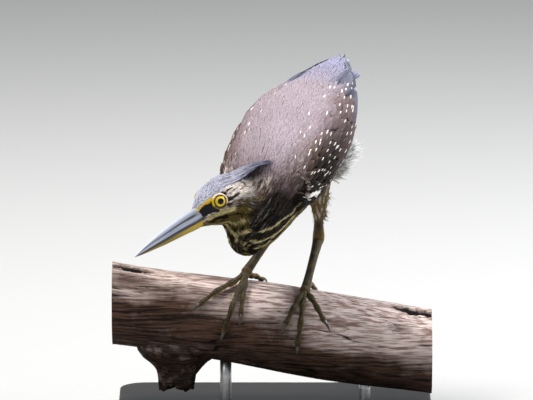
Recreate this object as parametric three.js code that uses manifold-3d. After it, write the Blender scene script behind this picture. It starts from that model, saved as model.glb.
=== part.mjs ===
// A young striated heron (Butorides striata) as a life-size museum model: crouched on a cut length
// of dead branch, head low and turned to its right, tail up. The branch stands on a plain display
// stand. Millimetres, +Z up, origin at the centre of the stand's underside. The branch runs along X,
// and the bird faces -Y.
import * as THREE from "three";
import { mergeVertices } from "three/addons/utils/BufferGeometryUtils.js";
import Module from "manifold-3d";

const wasm = await Module();
wasm.setup();

// ---------------------------------------------------------------- driving dimensions
const GAP = 0.3; // clearance between neighbouring solids
const WELD = 0.002; // corners nearer than this are one
const DEG = Math.PI / 180;

const BASE = { width: 216, depth: 136, height: 12, corner: 18, chamfer: 1.5, x: 0, y: 0 };
const ROD = { radius: 4, x: [-34, 62] };
const PERCH_HEIGHT = 64; // axis of the branch above the floor, between the feet

const BRANCH = { radius: 29.6, left: -112, right: 108, slope: -0.16 };
const STUB = { x: -66, y: -4, reach: 44.7 };

const TRUNK = { origin: [-7, -42.3, 107.3], yaw: 20.2, pitch: 18.8 }; // origin between the wrists
const WING = { start: -13, end: 160, thickness: 5.2, edge: 0.6, clearance: 0.8 };
const TRUNK_END = 162;
const TAIL = { start: 138, end: 178 };

const HEAD = { origin: [-44.9, -80, 103.2], yaw: 44.3, pitch: -17.2 }; // origin in the brow, over the eyes
const BILL = { base: 16, length: 60, level: -7.6 }; // level: the mouth's height in the head's frame
const EYE = { radius: 5.6, forward: -1.8, side: 7.7, up: -0.2 };

const LEG = {
  left: {
    joint: [20.7, -13, 28.6],
    heel: [30.2, 25.7, 57.8],
    knee: [30, -4, 112],
  },
  right: {
    joint: [-19.5, -6, 40.5],
    heel: [8.5, 30, 75],
    knee: [-14, -4, 116],
  },
};
// Each toe ends at a place on the branch: along it (mm) and round it from the top towards -Y (degrees).
const TOES = {
  left: {
    inner: { end: [7, 74], radius: 1.95 },
    middle: { end: [15.5, 98], radius: 1.95 },
    outer: { end: [34, 62], radius: 2.0 },
    hind: { end: [28, -34], radius: 1.95 },
  },
  right: {
    inner: { end: [-23.5, 72], radius: 1.95 },
    middle: { end: [-35.5, 96], radius: 1.95 },
    outer: { end: [-52, 66], radius: 2.0 },
    hind: { end: [-9, -20], radius: 1.95 },
  },
};
const CLAW_LENGTH = 7.5;

// ---------------------------------------------------------------- finishes
const finish = (color, roughness, metalness = 0) =>
  new THREE.MeshStandardMaterial({ color, roughness, metalness });
const FINISH = {
  back: finish(0x8a7672, 0.85),
  wing: finish(0x5c4a42, 0.85),
  tail: finish(0x66707c, 0.8),
  crown: finish(0x6f7488, 0.8),
  neck: finish(0x5b4636, 0.85),
  down: finish(0xcfc6b4, 0.9),
  billUpper: finish(0x5c6172, 0.35),
  billLower: finish(0xa8912c, 0.4),
  iris: finish(0xe8bc1a, 0.1),
  leg: finish(0x6d6138, 0.55),
  claw: finish(0x2c2622, 0.4),
  wood: finish(0x7a6253, 0.9),
  base: finish(0x2b2826, 0.45),
  rod: finish(0x9a9a98, 0.3, 1),
};

// ---------------------------------------------------------------- curves and frames
// A smooth curve through [x, y] knots, level at its ends and never past a knot (Fritsch-Carlson).
function profile(knots) {
  const slopes = knots.slice(1).map(([x, y], i) => (y - knots[i][1]) / (x - knots[i][0]));
  const tangents = knots.map((_, i) => {
    if (i === 0 || i === slopes.length) return 0;
    const [a, b] = [slopes[i - 1], slopes[i]];
    return a * b <= 0 ? 0 : (2 * a * b) / (a + b);
  });
  return (x) => {
    if (x <= knots[0][0]) return knots[0][1];
    if (x >= knots[slopes.length][0]) return knots[slopes.length][1];
    const i = knots.findIndex((k) => k[0] > x) - 1;
    const h = knots[i + 1][0] - knots[i][0];
    const t = (x - knots[i][0]) / h;
    return (
      knots[i][1] * (1 + 2 * t) * (1 - t) ** 2 +
      knots[i + 1][1] * t * t * (3 - 2 * t) +
      h * t * (1 - t) * (tangents[i] * (1 - t) - tangents[i + 1] * t)
    );
  };
}

// A frame whose first axis points along yaw (0 is -Y, turning to the bird's right) and pitch.
function frameOf({ origin, yaw, pitch }, tailward = false) {
  const [c, s] = [Math.cos(yaw * DEG), Math.sin(yaw * DEG)];
  const [cp, sp] = [Math.cos(pitch * DEG), Math.sin(pitch * DEG)];
  const sign = tailward ? 1 : -1;
  const along = new THREE.Vector3(sign * s * cp, sign * c * cp, sp);
  const left = new THREE.Vector3(c, -s, 0);
  const up = tailward ? left.clone().cross(along) : along.clone().cross(left);
  const start = new THREE.Vector3(...origin);
  return {
    along,
    left,
    up,
    point: (a, l, u) =>
      start.clone().addScaledVector(along, a).addScaledVector(left, l).addScaledVector(up, u),
  };
}

const steps = (from, to, count) =>
  Array.from({ length: count + 1 }, (_, i) => from + ((to - from) * i) / count);
const around = (sides) => steps(0, 360, sides).slice(0, sides);

// ---------------------------------------------------------------- solids
// A closed solid through rings of points, each end drawn together on a point of its own.
function solidOfRings(rings, first, last) {
  const sides = rings[0].length;
  const vertices = [first, ...rings.flat(), last];
  const faces = [];
  const at = (ring, side) => 1 + ring * sides + (side % sides);
  const end = vertices.length - 1;
  for (let j = 0; j < sides; j++) {
    faces.push(0, at(0, j + 1), at(0, j));
    faces.push(end, at(rings.length - 1, j), at(rings.length - 1, j + 1));
    for (let i = 0; i + 1 < rings.length; i++) {
      faces.push(at(i, j), at(i, j + 1), at(i + 1, j + 1));
      faces.push(at(i, j), at(i + 1, j + 1), at(i + 1, j));
    }
  }
  const made = new wasm.Manifold(
    new wasm.Mesh({
      numProp: 3,
      vertProperties: new Float32Array(vertices.flatMap((v) => v.toArray())),
      triVerts: new Uint32Array(faces),
    }),
  );
  if (made.volume() > 0) return made;
  for (let i = 0; i < faces.length; i += 3) {
    [faces[i + 1], faces[i + 2]] = [faces[i + 2], faces[i + 1]];
  }
  return new wasm.Manifold(
    new wasm.Mesh({
      numProp: 3,
      vertProperties: new Float32Array(vertices.flatMap((v) => v.toArray())),
      triVerts: new Uint32Array(faces),
    }),
  );
}

// A three.js geometry as a solid.
function solidOfGeometry(geometry) {
  geometry.deleteAttribute("normal");
  geometry.deleteAttribute("uv");
  const merged = mergeVertices(geometry, 1e-4);
  return new wasm.Manifold(
    new wasm.Mesh({
      numProp: 3,
      vertProperties: merged.attributes.position.array,
      triVerts: new Uint32Array(merged.index.array),
    }),
  );
}

// A tube along a smooth curve. radii(t) gives [sideways, upward] at t from 0 to 1; `side` fixes the roll.
// `dome` holds the angles of the rings that round off each end.
function tube(points, radii, side, { rings = 12, sides = 12, grow = 0, dome = [60, 30] } = {}) {
  const curve = new THREE.CatmullRomCurve3(points, false, "centripetal");
  const stations = [
    ...dome.map((angle) => [0, -angle]),
    ...steps(0, 1, rings).map((t) => [t, 0]),
    ...dome.toReversed().map((angle) => [1, angle]),
  ];
  const pushed = (t, share) =>
    curve.getPoint(t).addScaledVector(curve.getTangent(t), share * (Math.min(...radii(t)) + grow));
  const loops = stations.map(([t, angle]) => {
    const centre = pushed(t, Math.sin(angle * DEG));
    const tangent = curve.getTangent(t);
    const up = new THREE.Vector3().crossVectors(tangent, side).normalize();
    const across = new THREE.Vector3().crossVectors(up, tangent).normalize();
    const [a, b] = radii(t).map((r) => (r + grow) * Math.cos(angle * DEG));
    return around(sides).map((turn) =>
      centre
        .clone()
        .addScaledVector(across, a * Math.cos(turn * DEG))
        .addScaledVector(up, b * Math.sin(turn * DEG)),
    );
  });
  return solidOfRings(loops, pushed(0, -1), pushed(1, 1));
}

// The largest piece of a solid, for cuts that leave crumbs.
const largest = (solid) => solid.decompose().reduce((a, b) => (b.volume() > a.volume() ? b : a));
const cut = (solid, ...tools) => largest(tools.reduce((left, tool) => left.subtract(tool), solid));

// ---------------------------------------------------------------- trunk, wings and tail
const body = frameOf(TRUNK, true);
const bodyWidth = profile([
  [-34, 0.5], [-29, 12], [-18, 20], [-4, 26], [25, 31], [60, 33], [95, 30], [125, 23], [145, 15.5], [160, 8],
]);
const bodyTop = profile([
  [-34, 0.5], [-29, 9], [-18, 17], [-4, 24], [25, 30], [60, 32], [95, 27.5], [125, 18.5], [145, 12], [160, 5],
]);
const bodyBottom = profile([
  [-34, 0.5], [-29, 13], [-18, 24], [-4, 33], [25, 38], [60, 36.5], [95, 29], [125, 17], [145, 9], [160, 4],
]);
const bodyRise = profile([[-34, -10], [0, 0], [60, 2], [110, 3], [140, 6.5], [160, 11]]);

// A point of the body's surface: s tailward, angle from the back (0) to the left side (90).
function onBody(s, angle, offset = 0) {
  const [sin, cos] = [Math.sin(angle * DEG), Math.cos(angle * DEG)];
  const width = bodyWidth(s);
  const height = cos > 0 ? bodyTop(s) : bodyBottom(s);
  const normal = new THREE.Vector2(sin * height, cos * width).normalize();
  return body.point(s, sin * width + normal.x * offset, bodyRise(s) + cos * height + normal.y * offset);
}

function bodyLoft(from, to, rings, sides, offset) {
  const loops = steps(from, to, rings).map((s) =>
    around(sides).map((angle) => onBody(s, angle, offset)),
  );
  const end = (s, out) => body.point(s + out, 0, bodyRise(s));
  return solidOfRings(loops, end(from, -offset), end(to, 4 + offset));
}
const trunkSolid = (offset) => bodyLoft(-33, TRUNK_END, 17, 16, offset);

// A folded wing is a crescent on the body's side, from its upper to its lower edge.
const wingUpperEdge = profile([[-13, 80], [-4, 56], [25, 44], [60, 40], [100, 40], [130, 46], [160, 58]]);
const wingLowerEdge = profile([[-13, 92], [-4, 116], [25, 127], [60, 124], [100, 116], [135, 102], [160, 80]]);
const wingThickness = profile([[-13, 0.6], [-4, 0.85], [30, 1], [75, 0.95], [105, 0.6], [140, 0.2], [160, 0.1]]);

function wingSolid(side, grow) {
  const across = 5;
  const loops = steps(WING.start, WING.end, 17).map((s) => {
    const [top, bottom] = [wingUpperEdge(s) - grow, wingLowerEdge(s) + grow];
    const outer = steps(0, 1, across).map((t) => {
      const bulge = Math.sin(Math.PI * t) ** 0.6;
      const offset = WING.clearance + WING.edge + WING.thickness * wingThickness(s) * bulge + grow;
      return onBody(s, side * (top + (bottom - top) * t), offset);
    });
    const inner = steps(1, 0, across).map((t) => onBody(s, side * (top + (bottom - top) * t), WING.clearance - grow));
    return [...outer, ...inner];
  });
  const middle = (ring) => ring.reduce((a, p) => a.add(p), new THREE.Vector3()).divideScalar(ring.length);
  return solidOfRings(loops, middle(loops[0]), middle(loops[loops.length - 1]));
}

// The tail: a short rounded fan that comes out under the rump and hangs a little below its line.
const tailWidth = profile([[138, 9], [150, 13.5], [170, 14.5], [178, 11]]);
const tailThickness = profile([[138, 4], [158, 2.6], [172, 1.3], [178, 0.8]]);
const tailLevel = profile([[138, 2], [158, 0.5], [178, -5.5]]);
function tailSolid() {
  const loops = steps(TAIL.start, TAIL.end, 7).map((s) =>
    around(14).map((angle) => {
      const [sin, cos] = [Math.sin(angle * DEG), Math.cos(angle * DEG)];
      const arch = 3 * (1 - sin * sin);
      return body.point(s, sin * tailWidth(s), tailLevel(s) + arch + cos * tailThickness(s));
    }),
  );
  const end = (s, out) => body.point(s + out, 0, tailLevel(s) + 3);
  return solidOfRings(loops, end(TAIL.start, -1), end(TAIL.end, 3));
}

// The vent's tuft of pale down, which fans out from under the wing.
function ventSolid(side) {
  const points = [[82, 18, -15], [88, 27, -20], [94, 35, -21]].map(([s, l, u]) => body.point(s, side * l, u));
  const taper = profile([[0, 0.9], [0.5, 1], [1, 0.65]]);
  return tube(points, (t) => [4.5 * taper(t), 12 * taper(t)], body.up, { rings: 5, sides: 8 });
}

// ---------------------------------------------------------------- head
const head = frameOf(HEAD);
const headWidth = profile([[-34, 8], [-24, 13.5], [-10, 14], [0, 11.6], [8, 8.2], [16, 5.2]]);
const headTop = profile([[-34, 3], [-24, 9], [-10, 11], [0, 9.2], [10, 5.6], [16, 0.3]]);
const headMiddle = profile([[-34, -6], [-10, -4], [0, -4], [9, -6], [16, BILL.level]]);
const headBottom = profile([[-34, -16], [-22, -21], [-6, -20.5], [6, -16.2], [16, -13.8]]);

function headLoft(offset) {
  const loops = steps(-34, BILL.base - GAP, 10).map((x) =>
    around(16).map((angle) => {
      const [sin, cos] = [Math.sin(angle * DEG), Math.cos(angle * DEG)];
      const height = (cos > 0 ? headTop(x) - headMiddle(x) : headMiddle(x) - headBottom(x)) + offset;
      return head.point(x, sin * (headWidth(x) + offset), headMiddle(x) + cos * height);
    }),
  );
  const front = BILL.base - GAP + offset;
  return solidOfRings(loops, head.point(-37 - offset, 0, -7), head.point(front, 0, BILL.level));
}

// The bill's two halves meet on the line of the mouth, which drops a little towards the tip.
const billWidth = profile([[0, 5.2], [0.25, 4.3], [0.5, 3.1], [0.75, 1.9], [0.93, 0.9], [1, 0.35]]);
const culmen = profile([[0, 7.6], [0.25, 7.2], [0.5, 5.8], [0.75, 3.8], [0.93, 1.8], [1, 0.5]]);
const gonys = profile([[0, 6.0], [0.25, 4.9], [0.5, 3.9], [0.75, 2.3], [0.93, 1.0], [1, 0.4]]);
const mouthLine = (t) => BILL.level - 0.2 * t * t;

function billHalf(upper) {
  const across = 7;
  const loops = steps(0, 1, 12).map((t) => {
    const x = BILL.base + t * BILL.length * (upper ? 1 : 0.97);
    const level = mouthLine(t) + (upper ? GAP / 2 : -GAP / 2);
    const height = upper ? culmen(t) : -gonys(t);
    const dome = steps(0, 180, across).map((angle) => {
      const [sin, cos] = [Math.sin(angle * DEG), Math.cos(angle * DEG)];
      return head.point(x, cos * billWidth(t), level + height * sin ** 0.85);
    });
    return dome;
  });
  const middle = (ring) => ring.reduce((a, p) => a.add(p), new THREE.Vector3()).divideScalar(ring.length);
  return solidOfRings(loops, middle(loops[0]), middle(loops[loops.length - 1]));
}

function eyeball(side, grow) {
  const ball = new THREE.SphereGeometry(EYE.radius + grow, 10, 7);
  const centre = head.point(EYE.forward, side * EYE.side, EYE.up);
  ball.translate(centre.x, centre.y, centre.z);
  return solidOfGeometry(ball);
}

// The crest: long crown feathers laid back over the nape.
function crestSolid(grow) {
  const points = [[-18, 6], [-36, 4], [-58, -1], [-78, -8]].map(([x, u]) => head.point(x, 0, u));
  const width = profile([[0, 8], [0.35, 10], [0.7, 7], [1, 1.4]]);
  return tube(points, (t) => [width(t), width(t) * 0.5], head.left, { rings: 7, sides: 10, grow });
}

// ---------------------------------------------------------------- neck
// The folded neck: down from the nape to the loop under the throat, then back up to the breast.
const neckUpperPath = [
  new THREE.Vector3(-26, -58, 101),
  new THREE.Vector3(-20.5, -63, 90),
  new THREE.Vector3(-20, -72, 78),
];
const neckUpperRadius = profile([[0, 15], [0.45, 17.8], [1, 13]]);
const neckLowerPath = [
  new THREE.Vector3(-18.5, -74, 76),
  new THREE.Vector3(-13, -66, 83),
  new THREE.Vector3(-8, -54, 92.5),
  new THREE.Vector3(-8, -40, 101),
];
const neckLowerRadius = profile([[0, 12], [0.3, 16.2], [0.65, 21], [1, 25]]);
const neckUpper = (grow) =>
  tube(neckUpperPath, (t) => [neckUpperRadius(t), neckUpperRadius(t)], head.left, { rings: 6, sides: 12, grow, dome: [50] });
const neckLower = (grow) =>
  tube(neckLowerPath, (t) => [neckLowerRadius(t), neckLowerRadius(t)], head.left, { rings: 6, sides: 12, grow, dome: [50] });

// ---------------------------------------------------------------- branch
// The branch's radius, with its long swellings and hollows.
const branchRadius = (x, angle) =>
  BRANCH.radius +
  1.1 * Math.sin(x * 0.031 + 1.2) +
  0.7 * Math.sin(2 * angle * DEG + x * 0.02) +
  0.45 * Math.sin(5 * angle * DEG - x * 0.045 + 0.7);

// A point near the branch: x along it, angle round it from the top towards -Y, offset outwards.
function onBranch(x, angle, offset = 0) {
  const r = branchRadius(x, angle) + offset;
  return new THREE.Vector3(x, -r * Math.sin(angle * DEG), BRANCH.slope * x + r * Math.cos(angle * DEG));
}

// Half the broken stub's width along the branch, by height.
const stubHalfWidth = profile([[-40, 13], [-36, 13.5], [-25, 16], [-18, 18.5], [0, 17]]);

function branchSolid() {
  const loops = steps(BRANCH.left, BRANCH.right, 12).map((x) =>
    around(18).map((angle) => onBranch(x, angle)),
  );
  const axis = (x) => new THREE.Vector3(x, 0, BRANCH.slope * x);
  const log = solidOfRings(loops, axis(BRANCH.left), axis(BRANCH.right));
  const top = STUB.x * BRANCH.slope;
  const loopsOfStub = [top, -10, -18, -25, -31, -37].map((z, i) =>
    around(12).map((angle) => {
      const ragged = i === 5 ? 1.6 * Math.sin(angle * DEG * 3 + 0.6) : 0;
      const half = stubHalfWidth(z);
      return new THREE.Vector3(
        STUB.x + half * Math.cos(angle * DEG),
        STUB.y + 0.62 * half * Math.sin(angle * DEG),
        z + ragged,
      );
    }),
  );
  const tip = new THREE.Vector3(STUB.x - 1.8, STUB.y, -STUB.reach);
  return log.add(solidOfRings(loopsOfStub, new THREE.Vector3(STUB.x, STUB.y, top), tip));
}

// ---------------------------------------------------------------- legs and feet
const vector = (p) => new THREE.Vector3(...p);
const SIDE_AXIS = body.left;

function thighSolid(leg, grow) {
  const [knee, heel] = [vector(leg.knee), vector(leg.heel)];
  const radius = profile([[0, 10], [0.4, 8.8], [0.8, 6.2], [1, 4.9]]);
  const points = [0, 0.25, 0.5, 0.72].map((t) => knee.clone().lerp(heel, t));
  return tube(points, (t) => [radius(t), radius(t)], SIDE_AXIS, { rings: 5, sides: 8, grow });
}

// The bare end of the tibia and the tarsus, which meet in the knobbed heel.
function shankSolid(leg, grow) {
  const [knee, heel, joint] = [vector(leg.knee), vector(leg.heel), vector(leg.joint)];
  const tibia = [0.28, 0.14, 0].map((t) => heel.clone().lerp(knee, t));
  const tarsus = [0, 0.1, 0.35, 0.65, 0.9, 1].map((t) => heel.clone().lerp(joint, t));
  const tibiaRadius = profile([[0, 2.7], [0.5, 3.1], [1, 3.6]]);
  const tarsusRadius = profile([[0, 4.1], [0.15, 3.5], [0.32, 2.8], [0.7, 2.6], [0.9, 3], [1, 3.3]]);
  const length = (radius, path, rings) =>
    tube(path, (t) => [radius(t), radius(t) * 1.05], SIDE_AXIS, { rings, sides: 8, grow, dome: [45] });
  return length(tibiaRadius, tibia, 2).add(length(tarsusRadius, tarsus, 7));
}

const toePad = (leg, grow) => {
  const ball = new THREE.SphereGeometry(3.7 + grow, 8, 6);
  ball.translate(...leg.joint);
  return solidOfGeometry(ball);
};

// A toe's middle line: out of the joint, down to the branch and round it to its end.
function toePath(leg, { end, radius }) {
  const joint = vector(leg.joint);
  const startAngle = Math.atan2(-joint.y, joint.z - BRANCH.slope * joint.x) / DEG;
  const lift = (t) => Math.max(0, 1 - t * 2.6) ** 1.5;
  const height = joint.distanceTo(onBranch(joint.x, startAngle, 0));
  return steps(0, 1, 7).map((t) => {
    const x = joint.x + (end[0] - joint.x) * t;
    const angle = startAngle + (end[1] - startAngle) * t;
    const knuckle = 0.5 * radius * Math.sin(Math.PI * t) ** 2;
    const rest = radius + GAP + knuckle;
    return onBranch(x, angle, rest + (height - rest) * lift(t));
  });
}

function toeSolid(leg, toe, grow) {
  const knuckles = (t) => 1 + 0.13 * Math.cos(t * Math.PI * 2 * 3.2);
  const radius = (t) => toe.radius * (1.12 - 0.3 * t) * knuckles(t);
  const path = toePath(leg, toe);
  return tube(path, (t) => [radius(t), radius(t) * 0.92], SIDE_AXIS.clone().setZ(0.02), {
    rings: 9,
    sides: 6,
    grow,
    dome: [45],
  });
}

// A claw: a hooked cone that goes on from the toe and turns down to the bark.
function clawSolid(leg, toe) {
  const path = toePath(leg, toe);
  const tip = path[path.length - 1];
  const ahead = tip.clone().sub(path[path.length - 2]).normalize();
  const angle = toe.end[1];
  const out = onBranch(toe.end[0], angle, 10).sub(onBranch(toe.end[0], angle, 0)).normalize();
  const away = ahead.clone().addScaledVector(out, -ahead.dot(out)).normalize();
  const points = [0, 0.35, 0.7, 1].map((t) => {
    const hook = 0.9 * Math.sin(Math.PI * t * 0.8) - 1.5 * t * t;
    const curl = (Math.abs(CLAW_LENGTH * t) / BRANCH.radius) ** 2 * BRANCH.radius * 0.5;
    return tip
      .clone()
      .addScaledVector(away, 0.6 + CLAW_LENGTH * t)
      .addScaledVector(out, hook - curl + 0.6);
  });
  const taper = profile([[0, 1.25], [0.4, 0.95], [0.8, 0.5], [1, 0.28]]);
  return tube(points, (t) => [taper(t), taper(t) * 1.15], SIDE_AXIS.clone().setZ(0.02), { rings: 4, sides: 4, dome: [] });
}

// ---------------------------------------------------------------- stand
const baseTop = BASE.height - PERCH_HEIGHT;

function baseSolid() {
  const { width, depth, corner, chamfer } = BASE;
  const outline = new THREE.Shape();
  const [w, d] = [width / 2 - chamfer, depth / 2 - chamfer];
  outline.moveTo(-w + corner, -d);
  outline.lineTo(w - corner, -d);
  outline.absarc(w - corner, -d + corner, corner, -Math.PI / 2, 0);
  outline.lineTo(w, d - corner);
  outline.absarc(w - corner, d - corner, corner, 0, Math.PI / 2);
  outline.lineTo(-w + corner, d);
  outline.absarc(-w + corner, d - corner, corner, Math.PI / 2, Math.PI);
  outline.lineTo(-w, -d + corner);
  outline.absarc(-w + corner, -d + corner, corner, Math.PI, 1.5 * Math.PI);
  const plate = new THREE.ExtrudeGeometry(outline, {
    depth: BASE.height - 2 * chamfer,
    bevelThickness: chamfer,
    bevelSize: chamfer,
    bevelSegments: 1,
    curveSegments: 5,
  });
  plate.translate(BASE.x, BASE.y, chamfer - PERCH_HEIGHT);
  return solidOfGeometry(plate);
}

function rodSolid(x) {
  const low = baseTop + GAP;
  const rod = new THREE.CylinderGeometry(ROD.radius, ROD.radius, BRANCH.slope * x - low, 12);
  rod.rotateX(Math.PI / 2);
  rod.translate(x, 0, (low + BRANCH.slope * x) / 2);
  return solidOfGeometry(rod);
}

// ---------------------------------------------------------------- assembly
const heron = new THREE.Group();
heron.name = "heron_on_stand";
heron.position.z = PERCH_HEIGHT;

// A solid as a geometry, with the cuts' near-equal corners joined and their slivers dropped.
function geometryOf(solid) {
  const { vertProperties, triVerts } = solid.getMesh();
  const raw = new THREE.BufferGeometry();
  raw.setAttribute("position", new THREE.BufferAttribute(vertProperties, 3));
  raw.setIndex(new THREE.BufferAttribute(triVerts, 1));
  const geometry = mergeVertices(raw, WELD);
  const corners = geometry.index.array;
  const kept = [];
  for (let i = 0; i < corners.length; i += 3) {
    const [a, b, c] = corners.subarray(i, i + 3);
    if (a !== b && b !== c && c !== a) kept.push(a, b, c);
  }
  geometry.setIndex(kept);
  geometry.computeVertexNormals();
  return geometry;
}

function add(name, solid, material) {
  const mesh = new THREE.Mesh(geometryOf(solid), material);
  mesh.name = name;
  heron.add(mesh);
}

const SIDES = { left: 1, right: -1 };

const branch = branchSolid();
add("perch_branch", branch, FINISH.wood);
add("stand_base", baseSolid(), FINISH.base);
for (const x of ROD.x) {
  const name = x < 0 ? "stand_rod_left" : "stand_rod_right";
  add(name, cut(rodSolid(x), branch.translate([0, 0, -GAP]), branch), FINISH.rod);
}

add("trunk", trunkSolid(0), FINISH.back);
const trunkGrown = trunkSolid(GAP);
const wingsGrown = Object.values(SIDES).map((side) => wingSolid(side, GAP));
add("tail", cut(tailSolid(), trunkGrown, ...wingsGrown), FINISH.tail);
for (const [name, side] of Object.entries(SIDES)) {
  add(`wing_${name}`, wingSolid(side, 0), FINISH.wing);
  add(`vent_tuft_${name}`, cut(ventSolid(side), trunkGrown, ...wingsGrown), FINISH.down);
}

const eyesGrown = Object.values(SIDES).map((side) => eyeball(side, GAP));
add("head", cut(headLoft(0), trunkGrown, ...eyesGrown), FINISH.crown);
for (const [name, side] of Object.entries(SIDES)) add(`eye_${name}`, eyeball(side, 0), FINISH.iris);
add("bill_upper", billHalf(true), FINISH.billUpper);
add("bill_lower", billHalf(false), FINISH.billLower);
const headGrown = headLoft(GAP);
add("neck_upper", cut(neckUpper(0), headGrown, trunkGrown, ...wingsGrown), FINISH.neck);
add("neck_lower", cut(neckLower(0), headGrown, trunkGrown, neckUpper(GAP), ...wingsGrown), FINISH.neck);
add("crest", cut(crestSolid(0), headGrown, trunkGrown, neckUpper(GAP), neckLower(GAP), ...wingsGrown), FINISH.crown);

for (const name of Object.keys(SIDES)) {
  const leg = LEG[name];
  const shankGrown = shankSolid(leg, GAP);
  const padGrown = toePad(leg, GAP);
  add(`thigh_${name}`, cut(thighSolid(leg, 0), trunkGrown, shankGrown, neckLower(GAP), ...wingsGrown), FINISH.down);
  add(`shank_${name}`, cut(shankSolid(leg, 0), padGrown), FINISH.leg);
  add(`foot_${name}`, cut(toePad(leg, 0), branch), FINISH.leg);
  const earlier = [];
  for (const [toeName, toe] of Object.entries(TOES[name])) {
    const solid = cut(toeSolid(leg, toe, 0), padGrown, shankGrown, branch, ...earlier);
    add(`toe_${name}_${toeName}`, solid, FINISH.leg);
    add(`claw_${name}_${toeName}`, cut(clawSolid(leg, toe), toeSolid(leg, toe, GAP), branch), FINISH.claw);
    earlier.push(toeSolid(leg, toe, GAP));
  }
}

export default heron;
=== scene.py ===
"""A young striated heron crouched on a length of dead branch, dressed as a life-size museum model.

Shapes are worked out in millimetres in the perch's own frame: the origin is on the branch's axis
between the feet, X runs along the branch and the bird faces -Y. A mesh is lifted onto the stand and
turned into metres as it is made.
"""
import logging
import math
from collections.abc import Callable, Sequence
from dataclasses import dataclass, field
from enum import Enum
from functools import cached_property, reduce
from typing import ClassVar

import bpy
import numpy as np
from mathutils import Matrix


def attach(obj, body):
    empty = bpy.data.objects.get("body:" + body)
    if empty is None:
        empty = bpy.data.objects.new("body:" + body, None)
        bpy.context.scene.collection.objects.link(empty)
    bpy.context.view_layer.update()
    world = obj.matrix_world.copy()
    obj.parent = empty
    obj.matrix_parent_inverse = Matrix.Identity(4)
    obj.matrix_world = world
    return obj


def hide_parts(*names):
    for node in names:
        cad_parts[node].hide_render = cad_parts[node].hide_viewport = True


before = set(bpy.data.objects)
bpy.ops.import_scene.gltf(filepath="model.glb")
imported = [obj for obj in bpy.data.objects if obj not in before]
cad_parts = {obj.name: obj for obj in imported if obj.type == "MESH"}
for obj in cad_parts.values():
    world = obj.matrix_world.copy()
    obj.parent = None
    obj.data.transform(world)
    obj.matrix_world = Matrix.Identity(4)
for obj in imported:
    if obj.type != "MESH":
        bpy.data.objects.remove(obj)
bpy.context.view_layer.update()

Array = np.ndarray
LOG = logging.getLogger("heron")

MM = 0.001
PERCH_HEIGHT = 64.0  # the branch's axis above the floor, between the feet
SEED = 20261
GAP = 0.3  # kept between pieces that would touch
BODY = "root"  # the one body that every piece rides on


# ---------------------------------------------------------------- numbers, curves and frames
def srgb(red: int, green: int, blue: int) -> tuple[float, float, float]:
    """A screen colour of 0 to 255 as linear red, green and blue.

    Args:
        red: 0 to 255.
        green: 0 to 255.
        blue: 0 to 255.

    Returns:
        Three numbers from 0 to 1.
    """
    share = np.array([red, green, blue]) / 255.0
    linear = np.where(share <= 0.04045, share / 12.92, ((share + 0.055) / 1.055) ** 2.4)
    return tuple(float(v) for v in linear)


def shade(red: int, green: int, blue: int) -> Array:
    """A screen colour as an array of linear values, for mixing."""
    return np.array(srgb(red, green, blue))


def unit(vectors: Array) -> Array:
    """Vectors scaled to length one."""
    return vectors / np.maximum(np.linalg.norm(vectors, axis=-1, keepdims=True), 1e-9)


def smoothstep(low: float, high: float, value: Array) -> Array:
    """0 below low, 1 above high and an S-shaped rise between them; high may be below low."""
    share = np.clip((np.asarray(value, float) - low) / (high - low), 0.0, 1.0)
    return share * share * (3.0 - 2.0 * share)


def bell(value: Array, centre: float | Array, spread: float | Array) -> Array:
    """A bell curve: 1 at the centre, falling off with the square of the distance over the spread."""
    return np.exp(-(((value - centre) / spread) ** 2))


def turns(count: int) -> Array:
    """Even turns of a full circle in radians, from 0."""
    return np.linspace(0, 2 * np.pi, count, endpoint=False)


def blend(a: Array, b: Array, share: Array) -> Array:
    """Colours a and b mixed by a share from 0 to 1 for each point."""
    return a + (b - a) * np.asarray(share)[..., None]


def stacked(*parts: Array | float) -> Array:
    """Numbers brought to one shape and stacked along a new last axis."""
    return np.stack(np.broadcast_arrays(*parts), -1)


def tinted(colours: Array, fourth: Array | float = 1.0) -> Array:
    """Colours with a fourth value."""
    return np.concatenate([colours, np.broadcast_to(fourth, colours.shape[:-1])[..., None]], axis=-1)


def value_noise(points: Array, seed: int = 0) -> Array:
    """Lattice noise from -1 to 1: a fixed random height at each whole corner, blended smoothly.

    Args:
        points: places, in cells.
        seed: picks another set of heights.

    Returns:
        One value for each point.
    """
    cell = np.floor(points).astype(np.int64)
    part = points - cell
    part = part * part * (3.0 - 2.0 * part)
    total = np.zeros(points.shape[:-1])
    for corner in np.ndindex(2, 2, 2):
        x, y, z = (cell[..., i] + corner[i] for i in range(3))
        key = x * 374761393 + y * 668265263 + z * 2246822519 + seed * 1274126177
        key = (key ^ (key >> 13)) * 1274126177
        key = (key ^ (key >> 16)) & 0xFFFF
        weight = np.prod(np.where(corner, part, 1.0 - part), axis=-1)
        total += weight * (key / 32767.5 - 1.0)
    return total


def soft_min(a: Array, b: Array, width: float) -> Array:
    """The smaller of two distances, rounded where they are within a width of each other."""
    share = np.clip(0.5 + 0.5 * (b - a) / width, 0.0, 1.0)
    return b + (a - b) * share - width * share * (1.0 - share)


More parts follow.
